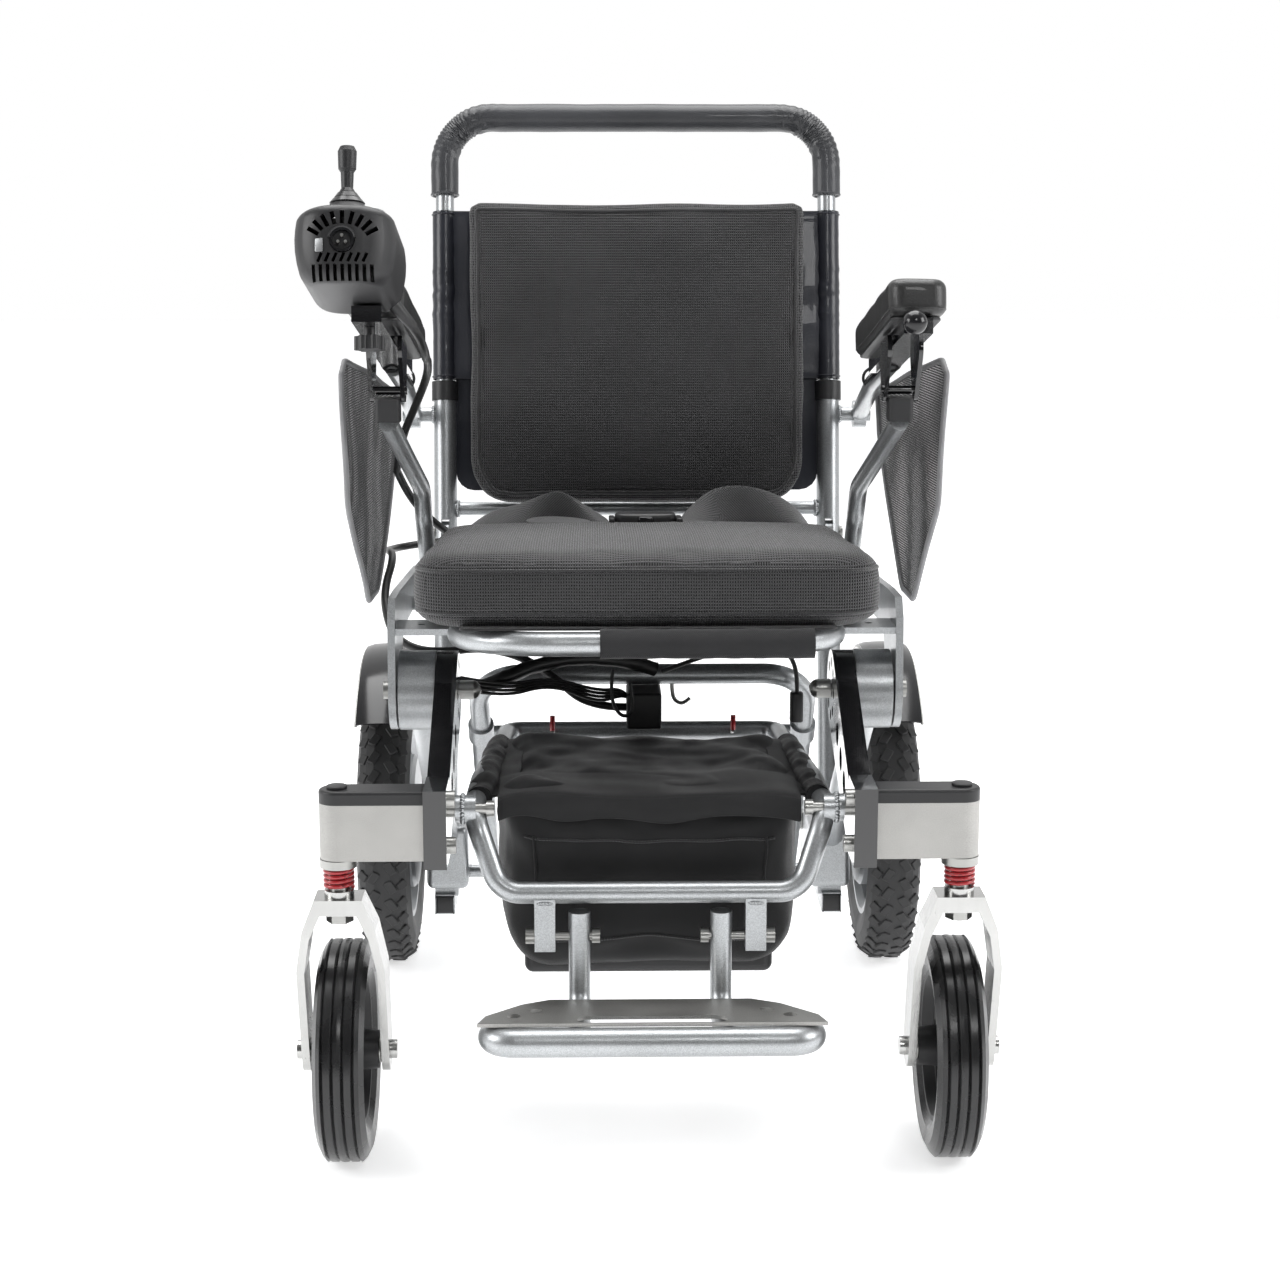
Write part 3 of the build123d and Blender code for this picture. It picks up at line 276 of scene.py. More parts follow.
def moulding(name, colour, roughness, grain, depth):
    """Moulded plastic with a spark-eroded texture."""
    look = Look(name, colour, roughness)
    tooth = look.noise(grain, 2)
    smear = look.noise(12, 4)
    look.set(**{"Base Color": look.blend(smear, shade(colour, 0.8), shade(colour, 1.5))})
    look.set(Roughness=roughness - 0.05 + smear * 0.14)
    look.set(Normal=look.bump(tooth, depth, 0.5))
    return look.material


def spacer_mesh(name="spacer_mesh", colour=(0.040, 0.040, 0.042), pitch=4.6 * MM):
    """Knitted spacer fabric: staggered oval pores through a ribbed face. The threads are lightened in broad
    patches, partly dust and partly painted sheen, and the pores are painted near-black as painted shade.
    """
    look = Look(name, colour, 0.62, 0.0, Sheen_Weight=0.35, Sheen_Roughness=0.4, Specular_IOR_Level=0.25)
    along, across = look.cloth_uv()
    wobble = (look.noise(70, 2) - 0.5) * 0.8
    turn = 2 * math.pi / pitch
    pores = (along * turn + wobble).sine() * (across * (turn * 0.8) + wobble).sine()
    both = pores.abs().ramp(0.30, 0.62)
    thread = look.noise(1800, 2)
    # Broad patches lighten the threads: partly dust, partly painted sheen standing in for lit threads.
    dust_and_sheen = look.noise(16, 4)
    lit = look.blend(dust_and_sheen, shade(colour, 0.8), shade(colour, 1.7))
    # The pores are painted near-black: painted shade inside the holes.
    dark = {0: both, 6: lit, 7: (0.0015, 0.0015, 0.0015, 1)}
    look.set(**{"Base Color": look.node("Mix", {"data_type": "RGBA"}, dark).out(2)})
    height = (1.0 - both) + thread * 0.25
    look.set(Normal=look.bump(height, 0.0014, 1.0))
    look.set(Roughness=0.50 + both * 0.4)
    return look.material


def woven(name, colour, pitch, roughness, depth=0.0004, sheen=0.2):
    """Plain or ribbed weave that follows the piece's own cloth map."""
    look = Look(name, colour, roughness, 0.0, Sheen_Weight=sheen, Specular_IOR_Level=0.25)
    along, across = look.cloth_uv()
    turn = 2 * math.pi / pitch
    threads = (along * turn).sine() * (across * turn).sine()
    fuzz = look.noise(900, 3)
    fold = look.noise(20, 4)
    # The fold noise darkens and lightens the cloth's colour: painted shade and painted highlight of soft
    # folds.
    look.set(**{"Base Color": look.blend(fold, shade(colour, 0.7), shade(colour, 1.9))})
    look.set(Roughness=roughness - 0.08 + fold * 0.2)
    look.set(Normal=look.bump(threads * 0.5 + fuzz * 0.4, depth, 0.7))
    return look.material


def open_mesh():
    """Dark net with fine open holes."""
    look = Look("guard_net", (0.025, 0.025, 0.026), 0.6, Specular_IOR_Level=0.25)
    along, across = look.cloth_uv()
    turn = 2 * math.pi / (5.0 * MM)
    pores = (along * turn).sine() * (across * turn).sine()
    hole = pores.abs().ramp(0.42, 0.6)
    look.set(Alpha=1.0 - hole * 0.8)
    tone = look.noise(30, 4)
    look.set(**{"Base Color": look.blend(tone, (0.02, 0.02, 0.021), (0.06, 0.06, 0.062))})
    look.set(Normal=look.bump(1.0 - hole, 0.0005, 0.6))
    return look.material


def hide(name, colour, roughness, grain, depth):
    """Leatherette: small rounded cells over soft creases."""
    look = Look(name, colour, roughness, 0.0, Coat_Weight=0.15)
    cells = look.cells(grain)
    crease = look.noise(34, 5)
    worn = look.noise(9, 4).ramp(0.4, 0.75)
    look.set(**{"Base Color": look.blend(worn, colour, shade(colour, 1.9))})
    look.set(Roughness=roughness - 0.08 + worn * 0.14 + crease * 0.1)
    under = look.bump(crease, 0.0012, 0.25)
    look.set(Normal=look.bump(cells, depth, 0.5, under))
    return look.material


def floor_paint():
    look = Look("pale_floor", (0.93, 0.93, 0.94), 0.7, Emission_Strength=0.60, Specular_IOR_Level=0.1)
    look.set(**{"Emission Color": (1, 1, 1, 1)})
    cloud = look.noise(2.0, 3)
    look.set(**{"Base Color": look.blend(cloud, (0.91, 0.915, 0.925), (0.96, 0.96, 0.965))})
    return look.material


LOOKS = {}


def mix_looks():
    """Makes each finish once, under its slot name in the record."""
    LOOKS.update({
        "silver_paint": silver_paint(),
        "black_paint": black_paint(),
        "blasted_alloy": blasted_alloy(),
        "polished_fork": grained_metal("polished_fork", (0.50, 0.50, 0.49), 0.24, 60, (6, 6, 0.6), 0.0002),
        "zinc_steel": grained_metal("zinc_steel", (0.42, 0.42, 0.405), 0.34, 220, (1, 1, 1), 0.0001),
        "red_spring": spring_paint(),
        "cast_rim": grained_metal("cast_rim", (0.36, 0.37, 0.38), 0.40, 260, (1, 1, 1), 0.0003),
        "caster_rim": moulding("caster_rim", (0.012, 0.012, 0.013), 0.45, 700, 0.0001),
        "caster_rubber": rubber("caster_rubber", (0.010, 0.010, 0.0105), 0.30, 0.00012),
        "tyre_rubber": rubber("tyre_rubber", (0.014, 0.014, 0.0145), 0.62, 0.0003),
        "black_plastic": moulding("black_plastic", (0.013, 0.013, 0.014), 0.42, 1100, 0.00018),
        "gloss_plastic": moulding("gloss_plastic", (0.008, 0.008, 0.009), 0.14, 200, 0.00006),
        "panel_face": grained_metal("panel_face", (0.46, 0.47, 0.48), 0.30, 900, (1, 1, 1), 0.0001),
        "mesh_fabric": spacer_mesh(),
        "sling_fabric": woven("sling_fabric", (0.012, 0.012, 0.013), 1.6 * MM, 0.55),
        "webbing": woven("webbing", (0.016, 0.016, 0.017), 2.6 * MM, 0.42, 0.0006, 0.35),
        "bag_nylon": woven("bag_nylon", (0.007, 0.007, 0.0075), 1.2 * MM, 0.45, 0.0003, 0.1),
        "guard_mesh": open_mesh(),
        "edge_tape": woven("edge_tape", (0.20, 0.20, 0.205), 1.8 * MM, 0.6),
        "leatherette": hide("leatherette", (0.010, 0.011, 0.016), 0.33, 800, 0.0002),
        "grip_cover": hide("grip_cover", (0.024, 0.025, 0.028), 0.40, 700, 0.0003),
        "arm_pad": hide("arm_pad", (0.012, 0.012, 0.012), 0.42, 520, 0.0003),
        "cable_jacket": rubber("cable_jacket", (0.012, 0.012, 0.012), 0.42, 0.0001),
        "battery_case": moulding("battery_case", (0.02, 0.02, 0.021), 0.5, 900, 0.0002),
    })


# ---------------------------------------------------------------- mesh helpers


def cloth_map(mesh):
    """Lays a map in metres over each face, square to its main direction."""
    layer = mesh.uv_layers.get("cloth") or mesh.uv_layers.new(name="cloth")
    for face in mesh.polygons:
        normal = [abs(part) for part in face.normal]
        drop = normal.index(max(normal))
        keep = [axis for axis in range(3) if axis != drop]
        for loop in face.loop_indices:
            at = mesh.vertices[mesh.loops[loop].vertex_index].co
            layer.data[loop].uv = (at[keep[0]], at[keep[1]])


def put(name, bm, slot, body, hides=(), smooth=True, sharp=35):
    """Turns a bmesh into a finished piece that rides on a body."""
    mesh = bpy.data.meshes.new(name)
    bm.to_mesh(mesh)
    bm.free()
    return settle(bpy.data.objects.new(name, mesh), slot, body, hides, smooth, sharp)


def settle(piece, slot, body, hides=(), smooth=True, sharp=35):
    """Links a piece, gives it its finish and its body, and hides what it stands for."""
    if piece.name not in bpy.context.scene.collection.objects:
        bpy.context.scene.collection.objects.link(piece)
    cloth_map(piece.data)
    if smooth:
        piece.data.shade_smooth()
        piece.data.set_sharp_from_angle(angle=math.radians(sharp))
    piece.data.materials.clear()
    piece.data.materials.append(LOOKS[slot])
    if body:
        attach(piece, body)
    for node in hides:
        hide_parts(node)
    return piece


def slab(width, length, height, corner, edge, cuts=0, segments=5):
    """A block with rounded upright corners and softened rims, middle at the origin."""
    bm = bmesh.new()
    bmesh.ops.create_cube(bm, size=1)
    bmesh.ops.scale(bm, vec=(width, length, height), verts=bm.verts)
    if corner:
        upright = [e for e in bm.edges if abs(e.verts[0].co.z - e.verts[1].co.z) > height / 2]
        bmesh.ops.bevel(bm, geom=upright, offset=corner, affect="EDGES", segments=segments + 2,
                        profile=0.5, material=-1)
    if edge:
        rims = [e for e in bm.edges if abs(e.verts[0].co.z - e.verts[1].co.z) < 1e-7
                and abs(abs(e.verts[0].co.z) - height / 2) < 1e-7 and len(e.link_faces) == 2
                and abs(e.link_faces[0].normal.z - e.link_faces[1].normal.z) > 0.5]
        bmesh.ops.bevel(bm, geom=rims, offset=edge, affect="EDGES", segments=segments,
                        profile=0.5, material=-1)
    if cuts:
        for axis, size in ((0, width), (1, length), (2, height)):
            count = max(2, int(cuts * size / max(width, length)))
            for k in range(1, count):
                at = Vector((0, 0, 0))
                at[axis] = size * (k / count - 0.5)
                across = Vector((0, 0, 0))
                across[axis] = 1
                bmesh.ops.bisect_plane(bm, geom=bm.verts[:] + bm.edges[:] + bm.faces[:],
                                       plane_co=at, plane_no=across, dist=1e-6)
    return bm


def bar(start, end, radius, segments=20, radius_end=None):
    """A round bar between two points."""
    bm = bmesh.new()
    run = Vector(end) - Vector(start)
    turn = Vector((0, 0, 1)).rotation_difference(run).to_matrix().to_4x4()
    place = shift((Vector(start) + Vector(end)) / 2) @ turn
    bmesh.ops.create_cone(bm, cap_ends=True, segments=segments, radius1=radius,
                          radius2=radius if radius_end is None else radius_end,
                          depth=run.length, matrix=place)
    rims = [e for e in bm.edges if len(e.link_faces) == 2
            and (len(e.link_faces[0].verts) > 4) != (len(e.link_faces[1].verts) > 4)]
    bmesh.ops.bevel(bm, geom=rims, offset=min(radius, run.length) * 0.18, affect="EDGES",
                    segments=2, profile=0.5, material=-1)
    return bm


def together(*meshes):
    """Joins several bmeshes into the first."""
    whole = meshes[0]
    for other in meshes[1:]:
        mesh = bpy.data.meshes.new("join")
        other.to_mesh(mesh)
        other.free()
        whole.from_mesh(mesh)
        bpy.data.meshes.remove(mesh)
    return whole


def thickened(bm, thickness):
    """Gives a sheet of faces a wall."""
    bmesh.ops.recalc_face_normals(bm, faces=bm.faces)
    bmesh.ops.solidify(bm, geom=bm.faces[:], thickness=thickness)
    return bm


def disc(radius, depth, segments, capped=True, radius_end=None):
    """A straight round plug or ring along Z, middle at the origin, with crisp ends."""
    bm = bmesh.new()
    bmesh.ops.create_cone(bm, cap_ends=capped, segments=segments, radius1=radius,
                          radius2=radius if radius_end is None else radius_end, depth=depth)
    return bm


def moved(bm, matrix):
    bmesh.ops.transform(bm, matrix=matrix, verts=bm.verts)
    return bm


def route(points, cyclic=False):
    """A smooth NURBS line with those points as its controls."""
    data = bpy.data.curves.new("route", "CURVE")
    data.dimensions = "3D"
    data.resolution_u = 8
    spline = data.splines.new("NURBS")
    spline.points.add(len(points) - 1)
    for at, point in zip(spline.points, points):
        at.co = (*point, 1)
    spline.use_endpoint_u = not cyclic
    spline.use_cyclic_u = cyclic
    spline.order_u = 3
    return data


def drawn(data):
    """The mesh that a curve stands for."""
    holder = bpy.data.objects.new("holder", data)
    bpy.context.scene.collection.objects.link(holder)
    bpy.context.view_layer.update()
    mesh = bpy.data.meshes.new_from_object(holder)
    bpy.data.objects.remove(holder)
    return mesh


def strand(name, points, radius, slot, body, cyclic=False, sides=3):
    """A wire, piping or tube along a smooth line."""
    data = route(points, cyclic)
    data.bevel_depth = radius
    data.bevel_resolution = sides
    data.use_fill_caps = not cyclic
    mesh = drawn(data)
    mesh.name = name
    bpy.data.curves.remove(data)
    return settle(bpy.data.objects.new(name, mesh), slot, body)


def ribbon(name, stations, thickness, slot, body):
    """A flat strap through stations, each a point and half its width as a vector."""
    bm = bmesh.new()
    first, half = stations[0]
    ends = [bm.verts.new(Vector(first) - Vector(half)), bm.verts.new(Vector(first) + Vector(half))]
    edge = bm.edges.new(ends)
    for point, half in stations[1:]:
        grown = bmesh.ops.extrude_edge_only(bm, edges=[edge])["geom"]
        new = [item for item in grown if isinstance(item, bmesh.types.BMVert)]
        edge = next(item for item in grown if isinstance(item, bmesh.types.BMEdge)
                    and all(v in new for v in item.verts))
        low = new[0] if any(e.other_vert(new[0]) == ends[0] for e in new[0].link_edges) else new[1]
        high = new[1] if low == new[0] else new[0]
        low.co = Vector(point) - Vector(half)
        high.co = Vector(point) + Vector(half)
        ends = [low, high]
    thickened(bm, thickness)
    piece = put(name, bm, slot, body)
    soften(piece, 3)
    cloth_map(piece.data)
    return piece


def soften(piece, levels):
    """Subdivides a piece for good."""
    modifier = piece.modifiers.new("soften", "SUBSURF")
    modifier.levels = levels
    modifier.render_levels = levels
    bake(piece)


def bake(piece):
    """Applies every modifier on a piece."""
    bpy.context.view_layer.update()
    seen = piece.evaluated_get(bpy.context.evaluated_depsgraph_get())
    mesh = bpy.data.meshes.new_from_object(seen)
    piece.modifiers.clear()
    old = piece.data
    piece.data = mesh
    bpy.data.meshes.remove(old)


def carve(piece, cutter, overlapping=False):
    """Cuts a shape, given in the controller deck's own frame, out of a piece."""
    mesh = bpy.data.meshes.new("cutter")
    moved(cutter, DECK).to_mesh(mesh)
    cutter.free()
    tool = bpy.data.objects.new("cutter", mesh)
    bpy.context.scene.collection.objects.link(tool)
    modifier = piece.modifiers.new("cut", "BOOLEAN")
    modifier.operation = "DIFFERENCE"
    modifier.solver = "EXACT"
    modifier.use_self = overlapping
    modifier.object = tool
    bake(piece)
    bpy.data.objects.remove(tool)


def inflate(piece, voxel, cap, pressure=4.0, frames=20):
    """Lets a pad swell like stuffed fabric, no point moving further than cap."""
    piece.data.remesh_voxel_size = voxel
    remesh = piece.modifiers.new("remesh", "REMESH")
    remesh.mode = "VOXEL"
    remesh.voxel_size = voxel
    bake(piece)
    start = [v.co.copy() for v in piece.data.vertices]
    cloth = piece.modifiers.new("cloth", "CLOTH")
    cloth.settings.use_pressure = True
    cloth.settings.uniform_pressure_force = pressure
    cloth.settings.effector_weights.gravity = 0
    cloth.settings.tension_stiffness = 30
    cloth.settings.bending_stiffness = 4
    cloth.point_cache.frame_start = 1
    cloth.point_cache.frame_end = frames
    for step in range(1, frames + 1):
        bpy.context.scene.frame_set(step)
    bake(piece)
    bpy.context.scene.frame_set(1)
    for vertex, rest in zip(piece.data.vertices, start):
        move = vertex.co - rest
        if move.length > cap:
            vertex.co = rest + move * (cap / move.length)
    modifier = piece.modifiers.new("relax", "SMOOTH")
    modifier.iterations = 4
    bake(piece)


def surface(piece):
    """A piece's faces, ready to lay other pieces on."""
    bm = bmesh.new()
    bm.from_mesh(piece.data)
    tree = BVHTree.FromBMesh(bm)
    bm.free()
    return tree


def laid_on(tree, points, proud):
    """Moves points onto a surface, a little proud of it."""
    laid = []
    for point in points:
        at, normal, unused, unused = tree.find_nearest(Vector(point))
        laid.append(at + normal * proud)
    return laid


def wrinkle(piece, scale, depth, mask=None):
    """Pushes a mesh in and out along its normals with smooth noise."""
    normals = [v.normal.copy() for v in piece.data.vertices]
    for vertex, normal in zip(piece.data.vertices, normals):
        amount = noise.noise(vertex.co * scale) * depth
        vertex.co += normal * (amount * (mask(vertex.co) if mask else 1))


def rounded_loop(half_x, half_y, radius, z, steps=5, per_side=3):
    """Points round a rectangle with rounded corners, at one height."""
    points = []
    corners = ((1, 1, 0), (-1, 1, 90), (-1, -1, 180), (1, -1, 270))
    for index, (sx, sy, begin) in enumerate(corners):
        for k in range(steps + 1):
            angle = math.radians(begin + 90 * k / steps)
            points.append(Vector((sx * (half_x - radius) + radius * math.cos(angle),
                                  sy * (half_y - radius) + radius * math.sin(angle), z)))
        nx, ny, unused = corners[(index + 1) % 4]
        start = points[-1]
        angle = math.radians(begin + 90)
        end = Vector((nx * (half_x - radius) + radius * math.cos(angle),
                      ny * (half_y - radius) + radius * math.sin(angle), z))
        points += [start.lerp(end, k / (per_side + 1)) for k in range(1, per_side + 1)]
    return points


def on_post(x, z, forward=0.0):
    """A point beside the back post's axis, moved forward off the back's plane."""
    y = 0.278 + math.tan(RECLINE) * (z - 0.600)
    return Vector((x, y, z)) + BACK_FORWARD * forward


def rear_hub(side):
    return Vector((side * 0.277, 0.254, 0.156))


def post_ring(side, z, radius):
    """Twelve points round a back post, square to the back's plane."""
    middle = on_post(side * POST_X, z)
    angles = [k * math.pi / 6 for k in range(12)]
    return [middle + Vector((math.cos(a), 0, 0)) * radius + BACK_FORWARD * (math.sin(a) * radius)
            for a in angles]


SEAT_FRAME = shift((0, -0.304, 0.468)) @ tilt(-SEAT_TILT, "X")
BACK_FRAME = shift(on_post(0, 0.509)) @ tilt(-RECLINE, "X")
DECK = shift((-0.254, -0.309, 0.805)) @ tilt(-CONTROLLER_PITCH, "X")
PAD_FRAME = shift((0.243, -0.226, 0.788)) @ tilt(-PAD_SLOPE, "X")


# ---------------------------------------------------------------- settings


class SoftSizes(bpy.types.PropertyGroup):
    """Sizes of the cushions and covers."""

    crown: bpy.props.FloatProperty(
        name="Cushion Crown", description="How far the seat rises in its middle",
        default=9 * MM, unit="LENGTH")
    swell: bpy.props.FloatProperty(
        name="Swell", description="The most that a pad may puff out", default=5 * MM, unit="LENGTH")
    piping: bpy.props.FloatProperty(
        name="Piping Radius", description="Radius of the corded seams", default=1.5 * MM, unit="LENGTH")
    fold: bpy.props.FloatProperty(
        name="Fold Depth", description="Depth of the soft folds in the bag and sleeves",
        default=4 * MM, unit="LENGTH")


class StudioSettings(bpy.types.PropertyGroup):
    """The light and the camera."""

    floor_size: bpy.props.FloatProperty(
        name="Floor Size", description="Side of the pale floor", default=24, unit="LENGTH")
    key_power: bpy.props.FloatProperty(
        name="Key Light", description="Power of the large lamp overhead", default=70, unit="POWER")
    glow: bpy.props.FloatProperty(
        name="Room Glow", description="Strength of the light from behind", default=0.95)
    lens: bpy.props.FloatProperty(
        name="Lens", description="Focal length of the camera", default=68.1, subtype="DISTANCE_CAMERA")


# ---------------------------------------------------------------- pieces


class WHEELCHAIR_OT_finishes(bpy.types.Operator):
    """Gives every framed part the finish of its slot"""

    bl_idname = "wheelchair.finishes"
    bl_label = "Frame Finishes"

    def execute(self, context):
        mix_looks()
        for entry in frame["record"]["subparts"]:
            mesh = frame["nodes"][entry["node"]].data
            cloth_map(mesh)
            mesh.materials.clear()
            mesh.materials.append(LOOKS[entry["material_slot"]])
        for name, side in SIDES.items():
            self.blacken(frame["nodes"]["armrest_frame_" + name].data, side)
        return {"FINISHED"}

    def blacken(self, mesh, side):
        """The rail under the pad and the plates in front are gloss black."""
        place = PAD_FRAME.copy()
        place.translation.x *= side
        into = place.inverted()
        mesh.materials.append(LOOKS["black_paint"])
        for face in mesh.polygons:
            local = into @ face.center
            face.material_index = int(local.z > -0.0535 or face.center.y < -0.06)


class WHEELCHAIR_OT_cable(bpy.types.Operator):
    """Joystick lead, from the controller to the power unit under the seat"""

    bl_idname = "wheelchair.cable"
    bl_label = "Joystick Lead"

    upper = (
        (-219.4, -266.7, 760.6), (-204, -257, 741), (-199, -228, 722), (-201, -180, 710),
        (-203, -124, 704), (-207, -72, 686), (-222, -30, 653), (-240, 4, 616), (-248, 46, 580),
    )
    lower = (
        (-248, 46, 580), (-240, 88, 548), (-221, 120, 520), (-204, 150, 501), (-198, 184, 490),
        (-208, 214, 482), (-236, 228, 477), (-262, 212, 475), (-270, 180, 477), (-266, 140, 483),
        (-258, 96, 487), (-255, 48, 483), (-258, 4, 470), (-256, -36, 453), (-246, -68, 432),
        (-224, -84, 420), (-194, -82, 417), (-160, -74, 420), (-122, -82, 414), (-88, -98, 396),
        (-54, -94, 364), (-17, -94, 364),
    )

    def lay(self, name, points, bodies, turn):
        points = [Vector(p) * MM for p in points]
        path = [v.co.copy() for v in drawn(route(points)).vertices]
        piece = strand(name, points, LEAD_DIAMETER / 2, "cable_jacket", None, sides=5)
        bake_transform(piece)
        return piece

    def execute(self, context):
        upper = [Vector(p) * MM for p in self.upper]
        lower = [Vector(p) * MM for p in self.lower]
        first = self.lay("joystick_lead_upper", self.upper, ("armrest_right", "backrest"),
                         (upper[2], upper[-1]))
        self.lay("joystick_lead_lower", self.lower, ("backrest", "rear_frame"), (lower[1], lower[8]))
        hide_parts("joystick_cable")
        run = upper[1] - upper[0]
        relief = bar(upper[0] - run * 0.3, upper[0] + run * 0.9, 6.2 * MM, 20, 4.4 * MM)
        put("lead_strain_relief", relief, "black_plastic", "armrest_right")
        return {"FINISHED"}


class WHEELCHAIR_OT_seat(bpy.types.Operator):
    """Seat cushion in spacer mesh with corded seams, and the sling under it"""

    bl_idname = "wheelchair.seat"
    bl_label = "Seat"

    def execute(self, context):
        soft = context.scene.wheelchair_soft
        width, length, height = 0.430, 0.415, 0.062
        base = 14.1 * MM
        bm = slab(width - 6 * MM, length - 6 * MM, height - 4 * MM, 42 * MM, 13 * MM, 26, 4)
        for vertex in bm.verts:
            u, v, w = (vertex.co.x * 2 / width, vertex.co.y * 2 / length, vertex.co.z * 2 / height)
            crown = (1 - abs(u) ** 3) * (1 - abs(v) ** 3)
            if w > 0:
                vertex.co.z += soft.crown * crown * w
            side = 1 - w * w
            vertex.co.x += 3 * MM * side * math.copysign(abs(u) ** 6, u)
            vertex.co.y += 3 * MM * side * math.copysign(abs(v) ** 6, v)
            vertex.co.x *= 1 - 0.010 * (1 - v * v) * abs(u)
        moved(bm, SEAT_FRAME @ shift((0, length / 2, base + height / 2)))
        piece = put("seat_pad", bm, "mesh_fabric", None)
        inflate(piece, 5 * MM, soft.swell)
        wrinkle(piece, 9, 2.2 * MM)
        soften(piece, 1)
        settle(piece, "mesh_fabric", "rear_frame", ("seat_cushion",))
        tree = surface(piece)
        for name, rise, inset in (("seat_piping_top", 0.052, 2 * MM), ("seat_piping_low", 0.010, 2 * MM)):
            loop = rounded_loop(width / 2 - inset, length / 2 - inset, 42 * MM, base + rise)
            loop = [SEAT_FRAME @ (point + Vector((0, length / 2, 0))) for point in loop]
            strand(name, laid_on(tree, loop, 0.4 * MM), soft.piping, "webbing", "rear_frame", cyclic=True)
        self.sling()
        return {"FINISHED"}

    def sling(self):
        """The woven sling, wrapped down over part of the front tube."""
        low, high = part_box("seat_sling")
        bm = slab(high.x - low.x, 0.520, 2.4 * MM, 8 * MM, 0.8 * MM, 20, 2)
        for vertex in bm.verts:
            u = vertex.co.x * 2 / (high.x - low.x)
            vertex.co.z -= 2.2 * MM * (1 - u * u) * (1 - (vertex.co.y / 0.26) ** 4)
        moved(bm, SEAT_FRAME @ shift((0, 0.262, 12.8 * MM)))
        sling = put("sling", bm, "sling_fabric", "rear_frame", ("seat_sling",))
        wrap = disc(13.2 * MM, 0.19, 36, capped=False)
        rings = [e for e in wrap.edges if abs(e.verts[0].co.z - e.verts[1].co.z) > 0.01]
        bmesh.ops.subdivide_edges(wrap, edges=rings, cuts=40)
        for vertex in wrap.verts:
            push = 1 + 0.05 * noise.noise(vertex.co * 60)
            vertex.co.x *= push
            vertex.co.y *= push
        thickened(wrap, 1.2 * MM)
        moved(wrap, shift((0.052, -0.304, 0.468)) @ tilt(math.pi / 2, "Y"))
        put("sling_wrap", wrap, "sling_fabric", "rear_frame")


